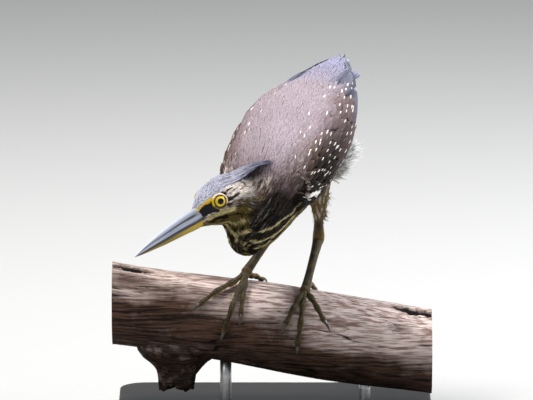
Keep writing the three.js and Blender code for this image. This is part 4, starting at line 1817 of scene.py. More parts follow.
# ---------------------------------------------------------------- skin
class Skin:
    """The one skin under the coat of head, neck, trunk, wings and thighs."""

    NODES = (
        "trunk", "neck_upper", "neck_lower", "head", "thigh_left", "thigh_right", "wing_left", "wing_right"
    )
    VOXEL = 0.00105  # the remesh's cell in metres

    def __init__(self, bird: BirdForm, markings: Markings) -> None:
        """Keeps the form that the skin follows and the markings it wears.

        Args:
            bird: the bird's form.
            markings: its colours.
        """
        self.bird, self.markings = bird, markings
        self.points = np.zeros((0, 3))
        self.quads = np.zeros((0, 4), int)

    def rough_form(self) -> Surface:
        """The parts as closed lofts that run into each other: ovals along axes and balls along limbs.

        Returns:
            The lofts as one surface.
        """
        turn = np.arange(0, 360, 7.5)[None]
        along = np.linspace(-32, 163, 70)[:, None]
        pad = WING.height(np.broadcast_to(along, (70, 48)), np.abs((turn + 180) % 360 - 180))
        trunk = TRUNK.surface(along, turn, pad - 2.0)
        ends = [TRUNK_AXES.point(s, 0, TRUNK.middle(s)) for s in (-33.0, 164.5)]
        parts = [Surface.lofted(trunk, *ends)]
        along = np.linspace(-33, 14.5, 24)[:, None]
        ends = [HEAD_AXES.point(-35.5, 0, -7), HEAD_AXES.point(15.2, 0, -7.6)]
        parts.append(Surface.lofted(HEAD.surface(along, turn, -0.9), *ends))
        for row in (*self.bird.neck, *self.bird.thighs):
            path = Path(row.centres[[0, len(row.t) // 3, 2 * len(row.t) // 3, -1]])
            radius = Profile(*zip(row.t, row.radii - 1.6))
            parts.append(tube(path, lambda t, r=radius: (r(t), r(t)), self.bird.side, 16, 28))
        for part in parts:
            part.maps = {}
        return Surface.joined(parts)

    def build(self) -> bpy.types.Object:
        """Joins the lofts by a fine voxel remesh and lays every point on the coat's inner surface.

        Returns:
            The skin.
        """
        rough = self.rough_form().build("skin_rough")
        remesh = rough.modifiers.new("join", "REMESH")
        remesh.mode, remesh.voxel_size, remesh.use_smooth_shade = "VOXEL", self.VOXEL, True
        soften = rough.modifiers.new("soften", "SMOOTH")
        soften.factor, soften.iterations = 0.5, 6
        graph = bpy.context.evaluated_depsgraph_get()
        mesh = bpy.data.meshes.new_from_object(rough.evaluated_get(graph))
        points = np.empty(3 * len(mesh.vertices), np.float32)
        mesh.vertices.foreach_get("co", points)
        loops = np.empty(len(mesh.loops), np.int32)
        mesh.loops.foreach_get("vertex_index", loops)
        points = points.reshape(-1, 3).astype(float) / MM - np.array([0.0, 0.0, PERCH_HEIGHT])
        self.quads = loops.reshape(-1, 4)
        bpy.data.objects.remove(rough)
        bpy.data.meshes.remove(mesh)
        depth = self.bird.coat_depth(points)
        points, _ = self.bird.settle(points, -depth, 4)
        self.points = self.even_out(points, 4)
        skin = Surface(self.points, self.quads).outward()
        self.quads = skin.quads
        skin.tint = tinted(self.markings.colours(self.points))
        return add_piece(skin, "skin", SkinFinish().material(), Slot.BACK, *self.NODES)

    def even_out(self, points: Array, rounds: int) -> Array:
        """Moves every point halfway to the mean of its neighbours along the faces' edges.

        Args:
            points: (n, 3) the skin's points.
            rounds: how many times.

        Returns:
            The moved points.
        """
        edges = np.vstack([self.quads[:, [i, (i + 1) % 4]] for i in range(4)])
        count = sum(np.bincount(edges[:, i], minlength=len(points)) for i in range(2))
        for _ in range(rounds):
            total = np.zeros_like(points)
            for i in range(3):
                total[:, i] = np.bincount(edges[:, 0], points[edges[:, 1], i], len(points))
                total[:, i] += np.bincount(edges[:, 1], points[edges[:, 0], i], len(points))
            points = 0.5 * points + 0.5 * total / np.maximum(count, 1)[:, None]
        return points

    def scatter(self, spacing: float, keep: Callable[[Array], Array], rng: np.random.Generator) -> Array:
        """Places spread evenly over the skin: one kept in each cell of a lattice of that spacing.

        Args:
            spacing: the lattice's size in millimetres.
            keep: says which places belong.
            rng: the random numbers.

        Returns:
            (n, 3) places.
        """
        a, b, c, d = (self.points[self.quads[:, i]] for i in range(4))
        area = 0.5 * np.linalg.norm(np.cross(c - a, d - b), axis=1)
        middle = (a + b + c + d) / 4
        wanted = np.flatnonzero(keep(middle))
        share = np.cumsum(area[wanted]) / area[wanted].sum()
        count = int(3.2 * area[wanted].sum() / spacing**2)
        drawn = (np.arange(count) + rng.random(count)) / count
        face = wanted[np.searchsorted(share, drawn).clip(max=len(wanted) - 1)]
        u, v = rng.random((2, count, 1))
        places = (1 - u) * ((1 - v) * a[face] + v * b[face]) + u * ((1 - v) * d[face] + v * c[face])
        order = rng.permutation(count)
        cell = np.floor(places[order] / spacing).astype(np.int64)
        most = 8192  # more cells than the skin has along any axis
        key = (cell[:, 0] * most + cell[:, 1]) * most + cell[:, 2]
        first = np.unique(key, return_index=True)[1]
        return places[order][np.sort(first)]


# ---------------------------------------------------------------- feathers
@dataclass(frozen=True)
class VaneShape:
    """The outline and section of one kind of feather.

    Attributes:
        widths: share of the full width at each ring from root to tip.
        section: across places from -1 to 1 round the ring, and whether each is above (1) or below (-1).
        camber: drop of the edges, as a share of the half width.
        thickness: half the vane's thickness in millimetres.
    """

    widths: tuple[float, ...]
    section: tuple[tuple[float, float], ...] = ((-1, 0), (0, 1), (1, 0), (0, -1))
    camber: float = 0.3
    thickness: float = 0.12

    @property
    def steps(self) -> Array:
        """Each ring's place from 0 at the root to 1 at the tip."""
        return np.linspace(0, 1, len(self.widths))


LOCK = VaneShape((0.5, 0.95, 1.0, 0.75, 0.12))
TUFT = VaneShape((0.6, 1.0, 0.9, 0.2))
BROAD_SECTION = ((-1, 0), (-0.5, 1), (0, 1.5), (0.5, 1), (1, 0), (0.5, -1), (0, -1), (-0.5, -1))
COVERT = VaneShape((0.45, 0.8, 0.98, 1.0, 0.86, 0.5, 0.1), BROAD_SECTION, camber=0.26, thickness=0.14)
QUILL = VaneShape(
    (0.4, 0.75, 0.9, 1.0, 1.0, 1.0, 0.96, 0.86, 0.62, 0.12), BROAD_SECTION, camber=0.16, thickness=0.16
)
PLUME = VaneShape((0.5, 0.85, 1.0, 1.0, 0.9, 0.72, 0.45, 0.08), camber=0.3, thickness=0.14)
WISP = VaneShape((0.6, 1.0, 0.85, 0.55, 0.06), thickness=0.1)


def vanes(
    lines: Array, normals: Array, width: Array, shape: VaneShape, roots: Array, tint: Array,
    cell: float = 0.003,
) -> Surface:
    """Feathers as closed thin vanes along centrelines.

    Each ring of a vane stands square to its centreline: half the width times the ring's share across,
    the edges dropped by the camber times the square of the across place, the top and bottom parted by
    the thickness.

    Args:
        lines: (n, k, 3) centrelines from root to tip.
        normals: (n, k, 3) outward directions.
        width: (n,) full widths.
        shape: the outline and section, with k rings.
        roots: (n, 2) each root's place from 0 to 1 on the unwrapped skin.
        tint: (n, 4) colours, or (n, k, 4).
        cell: size of each vane's patch on the unwrapped skin.

    Returns:
        The surface, with the maps "Vane" (across, along) and "OFBake".
    """
    count, rings = lines.shape[:2]
    ahead = unit(np.gradient(lines, axis=1))
    side = unit(np.cross(ahead, normals))
    out = np.cross(side, ahead)
    across, lift = np.array(shape.section, float).T
    sides = len(across)
    half = 0.5 * width[:, None] * np.array(shape.widths)
    thick = shape.thickness * np.clip(np.array(shape.widths) * 1.6, 0.3, 1.0)
    rise = lift * thick[:, None]
    drop = shape.camber * half[..., None] * across**2
    points = (
        lines[:, :, None]
        + (half[..., None] * across)[..., None] * side[:, :, None]
        + (rise[None] - drop)[..., None] * out[:, :, None]
    )
    each = rings * sides
    start = (np.arange(count) * each)[:, None, None]
    quads = [(ring_faces(rings, sides)[None] + start).reshape(-1, 4)]
    quads_tip, tris_tip = end_caps(sides)
    base = (rings - 1) * sides
    quads.append((quads_tip[None, :, ::-1] + start).reshape(-1, 4))
    quads.append((quads_tip[None] + base + start).reshape(-1, 4))
    tris = np.vstack(
        [(tris_tip[None, :, ::-1] + start).reshape(-1, 3), (tris_tip[None] + base + start).reshape(-1, 3)]
    )
    vane = stacked(0.5 + 0.5 * across[None, None], shape.steps[None, :, None])
    vane = np.broadcast_to(vane, (count, rings, sides, 2))
    bake = roots[:, None, None] * (1 - cell) + cell * vane
    if tint.ndim == 2:
        tint = np.broadcast_to(tint[:, None], (count, rings, 4))
    colours = np.broadcast_to(tint[:, :, None], (count, rings, sides, 4))
    return Surface(
        points.reshape(-1, 3), np.vstack(quads), tris,
        {"Vane": vane.reshape(-1, 2), "OFBake": bake.reshape(-1, 2)}, colours.reshape(-1, 4),
    )


def end_caps(sides: int) -> tuple[Array, Array]:
    """Faces that close a ring of points at its far end.

    Args:
        sides: points in the ring, which is symmetric about the line from its first to its middle one.

    Returns:
        Quads and triangles as vertex numbers within the ring.
    """
    if sides == 4:
        return np.array([[0, 1, 2, 3]]), np.zeros((0, 3), int)
    half = sides // 2
    quads = [[i, i + 1, sides - i - 1, sides - i] for i in range(1, half - 1)]
    tris = [[0, 1, sides - 1], [half - 1, half, half + 1]]
    return np.array(quads), np.array(tris)


def own_cells(places: Array, pitch: float = 0.0034) -> Array:
    """Moves places on the unwrapped skin to the nearest free cell of a fine lattice, so none share one.

    Args:
        places: (n, 2) from 0 to 1.
        pitch: size of a cell.

    Returns:
        (n, 2) places, all different.
    """
    across = int(1 / pitch)
    cell = np.clip((places * across).astype(np.int64), 0, across - 1)
    key = cell[:, 0] * across + cell[:, 1]
    for _ in range(400):
        order = np.argsort(key, kind="stable")
        again = np.zeros(len(key), bool)
        again[order[1:]] = key[order[1:]] == key[order[:-1]]
        if not again.any():
            break
        key[again] = (key[again] + 1) % (across * across)
    return np.stack([key // across, key % across], -1) / across


@dataclass(frozen=True)
class Tract:
    """One region of small feathers grown on the skin.

    Attributes:
        name: the piece's name.
        slot: the record's slot.
        finish: what its finish has of its own.
        shape: outline of its feathers.
        spacing: distance between roots in millimetres.
        length: shortest and longest feather.
        width: narrowest and widest.
        keep: which places belong, by their readings.
        lift: height of the tips over the coat's outside.
        ruffle: how far the feathers stray from the lie of the coat.
        variety: how far one feather's brightness strays from the markings'.
        limit: most feathers in the piece.
    """

    name: str
    slot: Slot
    finish: dict[str, object]
    shape: VaneShape
    spacing: float
    length: tuple[float, float]
    width: tuple[float, float]
    keep: Callable[[dict[str, Array]], Array]
    lift: float = -0.1
    ruffle: float = 0.12
    variety: float = 0.1
    limit: int = 5400


class Coat:
    """Grows the small feathers of the body on the skin."""

    def __init__(self, bird: BirdForm, skin: Skin, markings: Markings) -> None:
        """Keeps what the feathers grow on and are coloured by."""
        self.bird, self.skin, self.markings = bird, skin, markings
        self.rng = np.random.default_rng(SEED)

    def unwrapped(self, roots: Array) -> Array:
        """Each root's place on the skin unwrapped part by part: round each part and along it, from 0 to 1.

        Args:
            roots: (n, 3) places on the skin.

        Returns:
            (n, 2) places.
        """
        part = self.bird.parts(roots)
        nearest = np.argmin(np.stack(list(part.values())), axis=0)
        along, angle, _ = TRUNK.reading(roots)
        forward, turn, _ = HEAD.reading(roots)
        place, swing = self.bird.neck_reading(roots)
        spots = np.zeros((len(roots), 2))
        body = nearest == 0
        spots[body] = np.stack([(angle / 360 + 0.5), 0.02 + 0.53 * (along + 40) / 210], -1)[body]
        neck = (nearest == 1) | (nearest == 2)
        spots[neck] = np.stack([(swing / 360 + 0.5) * 0.6, 0.57 + 0.2 * place / 2], -1)[neck]
        head = nearest == 3
        spots[head] = np.stack([turn / 360 + 0.5, 0.79 + 0.2 * (forward + 40) / 60], -1)[head]
        for number, thigh in ((4, self.bird.thighs[0]), (5, self.bird.thighs[1])):
            mine = nearest == number
            _, bead = thigh.reading(roots)
            away = roots - thigh.centres[bead]
            around = np.arctan2(away @ TRUNK_AXES.left, away[:, 1]) / (2 * np.pi) + 0.5
            corner = 0.62 + 0.19 * (number - 4)
            spots[mine] = np.stack([corner + 0.18 * around, 0.57 + 0.2 * thigh.t[bead]], -1)[mine]
        return own_cells(np.clip(spots, 0.002, 0.995))

    def grow(
        self, roots: Array, length: Array, rings: int, lift: float, ruffle: float
    ) -> tuple[Array, Array]:
        """Centrelines that leave the skin and lie back along the flow, rising to the coat's outside.

        Each step follows the flow in the surface, turned a little by noise, and is then laid at a
        height that rises from the skin's to the lift.

        Args:
            roots: (n, 3) places on the skin.
            length: (n,) lengths.
            rings: points on each line.
            lift: height of the tips.
            ruffle: how far a line strays.

        Returns:
            The lines (n, k, 3) and outward directions (n, k, 3).
        """
        places, normals = self.bird.settle(roots, -self.bird.coat_depth(roots) - 0.1, 1)
        depth = self.bird.coat_depth(places)
        stray = np.stack([value_noise(roots / 7.0, 40 + i) for i in range(3)], -1) * 0.8
        stray = ruffle * (stray + 0.6 * self.rng.normal(size=roots.shape))
        tip = lift + 0.11 * self.rng.normal(size=len(roots)).clip(-1.5, 1.2)
        lines, outs = [places], [normals]
        for k in range(1, rings):
            heading = self.bird.flow(places, normals) + stray
            heading -= (heading * normals).sum(-1)[:, None] * normals
            places = places + unit(heading) * (length / (rings - 1))[:, None]
            share = (k / (rings - 1)) ** 0.8
            places, normals = self.bird.settle(places, (1 - share) * -depth + share * tip, 1)
            lines.append(places)
            outs.append(normals)
        return np.stack(lines, 1), np.stack(outs, 1)

    def piece(self, tract: Tract) -> bpy.types.Object:
        """Grows one tract; its feathers shorten towards the bill and the eye.

        Args:
            tract: the tract.

        Returns:
            The piece.
        """
        roots = self.skin.scatter(tract.spacing, lambda p: tract.keep(self.on(p)) & ~self.bare(p), self.rng)
        roots = roots[self.rng.permutation(len(roots))[: tract.limit]]
        count, rings = len(roots), len(tract.shape.widths)
        forward = HEAD_AXES.local(roots)[0]
        near_eye = smoothstep(9.0, 6.0, self.eye_distance(roots))
        size = 1.0 - 0.5 * smoothstep(-9.0, 5.0, forward) - 0.15 * near_eye
        length = self.rng.uniform(*tract.length, count) * size
        width = self.rng.uniform(*tract.width, count)
        lines, outs = self.grow(roots, length, rings, tract.lift, tract.ruffle)
        colour = self.markings.colours(lines.reshape(-1, 3)).reshape(count, rings, 3)
        colour *= self.rng.uniform(1 - tract.variety, 1 + tract.variety, (count, 1, 1))
        tint = tinted(colour, self.rng.uniform(0, 1, (count, 1)))
        surface = vanes(lines, outs, width, tract.shape, self.unwrapped(roots), tint)
        finish = FeatherFinish(tract.name, **tract.finish)
        return add_piece(surface, tract.name, finish.material(), tract.slot)

    def on(self, points: Array) -> dict[str, Array]:
        """Readings that the tracts' borders use: the nearest part and the places on it.

        Args:
            points: (n, 3) places.

        Returns:
            Readings by name.
        """
        part = self.bird.parts(points)
        nearest = np.argmin(np.stack([value - 1.5 * (key == "head") for key, value in part.items()]), axis=0)
        along, angle, _ = TRUNK.reading(points)
        forward, turn, _ = HEAD.reading(points)
        _, left, up = HEAD_AXES.local(points)
        place, swing = self.bird.neck_reading(points)
        return {
            "trunk": nearest == 0, "neck": (nearest == 1) | (nearest == 2), "head": nearest == 3,
            "thigh": nearest >= 4, "along": along, "angle": np.abs(angle), "share": WING.share(along, angle),
            "forward": forward, "turn": np.abs(turn), "left": left, "up": up, "place": place,
            "swing": np.abs(swing),
        }

    def eye_distance(self, points: Array) -> Array:
        """Distance of points from the nearer eye's middle, seen along its gaze.

        Args:
            points: (n, 3) places.

        Returns:
            (n,) distances.
        """
        along, left, up = HEAD_AXES.local(points)
        away = np.stack([along, np.abs(left), up], -1) - EYE_PLACE
        return np.linalg.norm(away - (away @ GAZE)[:, None] * GAZE, axis=-1) + 50.0 * (away @ GAZE < 0)

    def bare(self, points: Array) -> Array:
        """Where no feathers grow: the lores, the eye rims and under the bill's base.

        Args:
            points: (n, 3) places.

        Returns:
            (n,) true where bare.
        """
        forward, turn, left = head_turn(points)
        lore = (forward > 2.0) & (turn > LORE_TOP(forward) + 15 * (left < 0)) & (turn < LORE_BOTTOM(forward))
        return lore | (self.eye_distance(points) < 5.2) | (forward > 14.8)

    def build(self) -> None:
        """Grows every tract."""
        for tract in TRACTS:
            self.piece(tract)


TRACTS = (
    Tract(
        "mantle_feathers", Slot.BACK,
        {"barbs": 10.0, "rim": srgb(206, 194, 204), "rim_share": 0.2, "shaft_shade": 0.9},
        LOCK, 1.3, (8.0, 11.0), (1.9, 2.8), lambda r: r["trunk"] & (r["share"] < 0.12) & (r["along"] < 84),
        lift=-0.3, ruffle=0.05, variety=0.04,
    ),
    Tract(
        "rump_feathers", Slot.BACK, {"barbs": 10.0, "rim": srgb(196, 196, 214), "rim_share": 0.25},
        LOCK, 1.5, (9.0, 12.0), (1.6, 2.5), lambda r: r["trunk"] & (r["share"] < 0.12) & (r["along"] >= 84),
        lift=-0.2, ruffle=0.1, variety=0.06,
    ),
    Tract(
        "belly_feathers", Slot.DOWN, {"barbs": 8.0},
        LOCK, 1.75, (9.0, 13.0), (2.0, 3.0), lambda r: r["trunk"] & (r["share"] > 0.9), ruffle=0.2,
    ),
    Tract(
        "neck_feathers", Slot.NECK, {"barbs": 9.0, "sheen": 0.0, "shaft_shade": 1.2},
        TUFT, 1.05, (6.0, 9.5), (0.9, 1.5), lambda r: r["neck"], ruffle=0.17, variety=0.22, limit=6900,
    ),
    Tract(
        "crown_feathers", Slot.CROWN,
        {"barbs": 8.0, "sheen": 0.12, "rim": srgb(196, 200, 220), "rim_share": 0.3},
        TUFT, 0.92, (4.2, 6.2), (0.8, 1.2), lambda r: r["head"] & (r["turn"] < 47),
        ruffle=0.07, variety=0.09, limit=4600,
    ),
    Tract(
        "face_feathers", Slot.CROWN, {"barbs": 6.0, "sheen": 0.0, "relief": 0.00008},
        TUFT, 0.86, (3.6, 5.6), (0.6, 0.95), lambda r: r["head"] & (r["turn"] >= 47),
        lift=-0.05, variety=0.22, limit=7000,
    ),
    Tract(
        "thigh_feathers", Slot.DOWN, {"barbs": 7.0},
        TUFT, 1.2, (5.5, 9.0), (1.2, 1.9), lambda r: r["thigh"], lift=0.1, ruffle=0.26, variety=0.15,
    ),
)


@dataclass(frozen=True)
class Tuft:
    """A loose bunch of narrow feathers that leave their roots along given headings and bend as they go.

    Attributes:
        name: the piece's name.
        slot: the record's slot.
        finish: its finish.
        shape: outline of its feathers.
        width: narrowest and widest feather.
    """

    name: str
    slot: Slot
    finish: FeatherFinish
    shape: VaneShape
    width: tuple[float, float]

    def build(
        self, roots: Array, heading: Array, length: Array, bend: Array, out: Array,
        colour: Array, rng: np.random.Generator, *nodes: str,
    ) -> bpy.types.Object:
        """Each centreline is its root plus the heading times the length, plus the bend times the square.

        Args:
            roots: (n, 3) places.
            heading: (n, 3) unit directions.
            length: (n,) lengths.
            bend: (n, 3) how far each tip strays sideways.
            out: (n, 3) outward directions.
            colour: (n, 3) colours.
            rng: the random numbers.
            nodes: the solids that it stands for.

        Returns:
            The piece.
        """
        t = self.shape.steps[None, :, None]
        lines = roots[:, None] + heading[:, None] * length[:, None, None] * t + bend[:, None] * t**2
        count = len(roots)
        tint = tinted(colour, rng.uniform(0.2, 1.0, count))
        spread = (roots - roots.min(0))[:, 1:] / (np.ptp(roots, axis=0)[1:] + 1e-6)
        width = rng.uniform(*self.width, count)
        normals = np.broadcast_to(out[:, None], lines.shape)
        surface = vanes(lines, normals, width, self.shape, own_cells(0.05 + 0.9 * spread), tint)
        return add_piece(surface, self.name, self.finish.material(), self.slot, *nodes)


# ---------------------------------------------------------------- wings
@dataclass(frozen=True)
class CovertRow:
    """Rows of wing coverts between two places along the wing.

    Attributes:
        start: first row's place along the trunk.
        end: last row's.
        pitch: distance between rows.
        share: the uppermost and lowest share down the wing.
        gap: distance between neighbours in a row.
        length: of each feather.
        width: of each feather.
        level: height of the tips over the wing's outside.
    """

    start: float
    end: float
    pitch: float
    share: tuple[float, float]
    gap: float
    length: float
    width: float
    level: float


class FoldedWing:
    """One folded wing: coverts in rows, then tertials, secondaries and primaries stacked to the tip."""

    ROWS = (
        CovertRow(-15, 30, 4.8, (-0.03, 0.98), 5.6, 10.5, 6.8, 0.1),
        CovertRow(30, 84, 6.4, (-0.06, 0.95), 7.0, 14.0, 8.8, 0.0),
        CovertRow(84, 112, 8.0, (-0.06, 0.5), 8.0, 18.0, 9.6, -0.1),
    )

    # places along the trunk and angles of the wing's front edge, where small white feathers stand out
    BEND = np.array(
        [(-5.2, 57), (-2, 62), (-3.3, 74), (-2.7, 83), (-5.4, 91), (-4.3, 97), (3.7, 102), (14.5, 110)]
    )

    def __init__(self, side: Side, bird: BirdForm, markings: Markings) -> None:
        """Keeps the side and what the feathers lie on."""
        self.side, self.bird, self.markings = side, bird, markings
        self.rng = np.random.default_rng(SEED + 7)

    def outside(self, along: Array, share: Array, height: Array) -> tuple[Array, Array]:
        """Places on the wing by place along it and share down it, at a height over its outside.

        The outward direction is the cross product of the surface's two slopes.

        Args:
            along: place along the trunk.
            share: share of the way down.
            height: over the outside.

        Returns:
            Places and outward directions.
        """

        def at(s: Array, t: Array) -> Array:
            """Places on the wing's outside.

            Args:
                s: place along the trunk.
                t: share down the wing.

            Returns:
                The places.
            """
            angle = WING.angle(s, t)
            pad = WING.height(s, angle, 0.16)
            return TRUNK.surface(s, self.side.value * angle, pad)

        here = at(along, share)
        out = np.cross(at(along + 0.5, share) - here, at(along, share + 0.01) - here) * -self.side.value
        out = unit(out)
        return here + out * height[..., None], out

    def feathers(
        self, start: Array, share: Array, end: Array, end_share: Array, width: Array,
        shape: VaneShape, level: Array, dip: float, tint: Array, roots: Array, cell: float,
    ) -> Surface:
        """Feathers whose centrelines run straight over the unrolled wing from start to end.

        Args:
            start: place along of each root.
            share: share down of each root.
            end: place along of each tip.
            end_share: share down of each tip.
            width: full widths.
            shape: outline.
            level: height of each tip.
            dip: how much lower each root lies than its tip.
            tint: colours.
            roots: places on the unwrapped skin.
            cell: patch size there.

        Returns:
            The surface.
        """
        t = shape.steps[None]
        along = start[:, None] + (end - start)[:, None] * t
        down = share[:, None] + (end_share - share)[:, None] * t
        height = level[:, None] - dip * (1 - t) ** 1.3
        lines, outs = self.outside(along, down, height)
        return vanes(lines, outs, width, shape, roots, tint, cell)

    def coverts(self) -> bpy.types.Object:
        """Rounded coverts, each with a buff edge and most with a pale wedge at the tip.

        Returns:
            The piece.
        """
        parts = []
        for row in self.ROWS:
            places = []
            for number, s in enumerate(np.arange(row.start, row.end, row.pitch)):
                girth = np.radians(WING.lower(s) - WING.upper(s)) * 0.9 * (TRUNK.width(s) + 6)
                step = row.gap / max(float(girth), 8.0)
                shares = np.arange(row.share[0] + (0.5 * step if number % 2 else 0.0), row.share[1], step)
                places.append(np.stack([np.full(len(shares), s), shares], -1))
            where = np.vstack(places)
            count = len(where)
            where += self.rng.uniform(-1, 1, where.shape) * (0.36 * row.pitch, 0.045)
            size = self.rng.uniform(0.84, 1.16, count)
            length = row.length * size
            start, share = where.T
            fan = 0.05 * (share - 0.45) + self.rng.normal(0, 0.012, count)
            middle, _ = self.outside(start + length * 0.7, share, np.zeros(count))
            colour = self.markings.colours(middle) * self.rng.uniform(0.85, 1.15, (count, 1))
            spotted = self.rng.random(count) < 0.5 + 0.2 * smoothstep(0, 20, start)
            tint = tinted(colour, np.where(spotted, self.rng.uniform(0.75, 1.0, count), 0.08))
            roots = np.stack([0.03 + 0.9 * (start + 16) / 150, 0.03 + 0.9 * (share + 0.35) / 1.4], -1)
            level = row.level + self.rng.normal(0, 0.14, count)
            parts.append(
                self.feathers(
                    start, share, start + length, share + fan, row.width * size, COVERT, level, 1.5,
                    tint, roots, 0.012,
                )
            )
        finish = FeatherFinish(
            f"covert_feathers_{self.side.label}", sheen=0.0, rim=srgb(142, 116, 98), rim_share=0.35,
            tip_share=1.0, tip_start=0.66, tip_spread=0.8, barbs=16.0, roughness=0.66, shaft_shade=0.7,
        )
        return add_piece(
            Surface.joined(parts), f"wing_coverts_{self.side.label}", finish.material(), Slot.WING
        )

    def quills(self) -> bpy.types.Object:
        """The long feathers that end in the folded wing's point, the innermost on top.

        Returns:
            The piece.
        """
        sets = (
            # count, roots along, roots share, tips along, tips share, width, top level
            (8, (66, 60), (0.62, 0.96), (132, 104), (0.66, 1.0), 9.5, -0.5),
            (7, (80, 70), (0.15, 0.7), (150, 132), (0.3, 0.82), 11.0, -0.2),
            (7, (104, 96), (0.35, 0.75), (162, 148), (0.22, 0.86), 8.0, -0.35),
            (5, (92, 84), (-0.16, 0.3), (146, 124), (-0.02, 0.4), 12.0, 0.1),
        )
        parts = []
        for number, (count, root, root_share, tip, tip_share, width, level) in enumerate(sets):
            order = np.linspace(0, 1, count)
            start, end, down, end_down = (a + (b - a) * order for a, b in (root, tip, root_share, tip_share))
            middle, _ = self.outside(0.4 * start + 0.6 * end, 0.4 * down + 0.6 * end_down, np.zeros(count))
            colour = 0.2 * self.markings.colours(middle) + 0.42 * Shade.SLATE
            colour *= self.rng.uniform(0.88, 1.1, (count, 1))
            tint = tinted(colour, np.where(self.rng.random(count) < 0.5, 0.9, 0.1))
            levels = level - 0.16 * np.arange(count)
            roots = np.stack([0.1 + 0.2 * number + 0 * order, 0.05 + 0.9 * order], -1)
            parts.append(
                self.feathers(
                    start, down, end, end_down, np.full(count, width), QUILL, levels, 1.2, tint, roots, 0.05
                )
            )
        finish = FeatherFinish(
            f"flight_feathers_{self.side.label}", rim=srgb(182, 186, 208), rim_share=0.5, tip_share=0.9,
            tip_start=0.955, tip_spread=0.04, barbs=48.0, roughness=0.58, shaft_shade=0.6, relief=0.0001,
        )
        return add_piece(
            Surface.joined(parts), f"flight_feathers_{self.side.label}", finish.material(), Slot.TAIL
        )

    def bend(self) -> bpy.types.Object:
        """Small white feathers along the wing's front edge, thickest where it turns under.

        Returns:
            The piece.
        """
        count = 150
        along, angle = self.BEND.T
        course = Path(TRUNK.surface(along, self.side.value * angle, WING.height(along, angle, 0.16) + 0.1))
        under = self.rng.random(count) < 0.7
        t = np.where(under, self.rng.uniform(0.76, 0.98, count), self.rng.uniform(0.05, 0.8, count))
        out = unit(course.at(t) - TRUNK_AXES.point(8.0, 0.0, 0.0))
        wide = 0.8 + 0.4 * smoothstep(0.72, 0.95, t)
        roots = course.at(t) + TRUNK_AXES.along * (self.rng.normal(0, 1, count) * wide)[:, None]
        stray = self.rng.normal(0, 0.22, (count, 3))
        heading = unit(course.tangent(t) * 0.5 + TRUNK_AXES.along + out * 0.1 + stray)
        heading = unit(heading - 0.8 * (heading * out).sum(-1)[:, None] * out)
        length = self.rng.uniform(3.5, 6.5, count)
        lift = out * self.rng.uniform(-0.3, 0.5, count)[:, None]
        pale = self.rng.uniform(-0.1, 0.5, count) + 1.2 * smoothstep(0.66, 0.8, t)
        white = blend(Shade.NECK_BROWN, Shade.WHITE, np.clip(pale, 0, 1))
        finish = FeatherFinish(f"wing_bend_feathers_{self.side.label}", barbs=8.0, shaft_shade=0.95)
        name = f"wing_bend_{self.side.label}"
        tuft = Tuft(name, Slot.WING, finish, TUFT, (0.6, 1.2))
        return tuft.build(roots, heading, length, lift, out, white, self.rng)

    def build(self) -> None:
        """Lays the quills, then the coverts over their roots, then the white front edge."""
        self.quills()
        self.coverts()
        self.bend()


# ---------------------------------------------------------------- crest, tail and vent tufts
class Crest:
    """Long narrow crown feathers laid back over the nape in one flat, pointed bunch."""

    def __init__(self, bird: BirdForm) -> None:
        """Keeps the bird's form."""
        self.bird = bird
        self.rng = np.random.default_rng(SEED + 11)

    def build(self) -> bpy.types.Object:
        """Plumes from all over the rear of the crown that run together towards one point over the mantle.

        Each is a straight line with a low arch, and where it would cut the coat it's moved out to lie on it.

        Returns:
            The piece.
        """
        count = 520
        root = self.rng.uniform(-37, -5, count)
        aside = self.rng.uniform(-1, 1, count) * smoothstep(-46, -22, root)
        layer = self.rng.uniform(0.0, 1.0, count)
        start = HEAD.surface(root, 36.0 * aside, -1.2)
        behind = -53.0 + self.rng.uniform(0, 4, count)
        tip = HEAD_AXES.point(behind, 14.5 + 1.5 * self.rng.normal(size=count), 7.6)
        away = tip - start
        reach = np.linalg.norm(away, axis=1)
        length = np.minimum(self.rng.uniform(13, 24, count), reach)
        t = PLUME.steps[None]
        lines = start[:, None] + (away * (length / reach)[:, None])[:, None] * t[..., None]
        arch = 3.0 * np.sin(np.pi * t * (length / reach)[:, None]) * smoothstep(-10, -24, root)[:, None]
        lines = lines + arch[..., None] * HEAD_AXES.up
        flat = lines.reshape(-1, 3)
        height = (-1.0 + 0.9 * smoothstep(0.0, 0.4, t) + 1.1 * layer[:, None] * t).reshape(-1)
        low = np.flatnonzero(self.bird.value(flat) < height)
        flat[low], _ = self.bird.settle(flat[low], height[low], 4)
        lines = flat.reshape(lines.shape)
        outs = unit(HEAD_AXES.up + (0.5 * aside)[:, None] * HEAD_AXES.left)
        outs = np.broadcast_to(outs[:, None], lines.shape)
        colour = blend(Shade.CROWN, Shade.CREST, smoothstep(-22, -42, root - 0.5 * length))
        tint = tinted(colour * self.rng.uniform(0.85, 1.12, (count, 1)))
        roots = own_cells(np.stack([0.5 + 0.45 * aside, 0.05 + 0.9 * (root + 37) / 32], -1))
        width = self.rng.uniform(1.0, 1.9, count)
        finish = FeatherFinish(
            "crest_feathers", barbs=26.0, sheen=0.12, roughness=0.6, rim=srgb(150, 156, 182), rim_share=0.3
        )
        surface = vanes(lines, outs, width, PLUME, roots, tint)
        return add_piece(surface, "crest_feathers", finish.material(), Slot.CROWN, "crest")


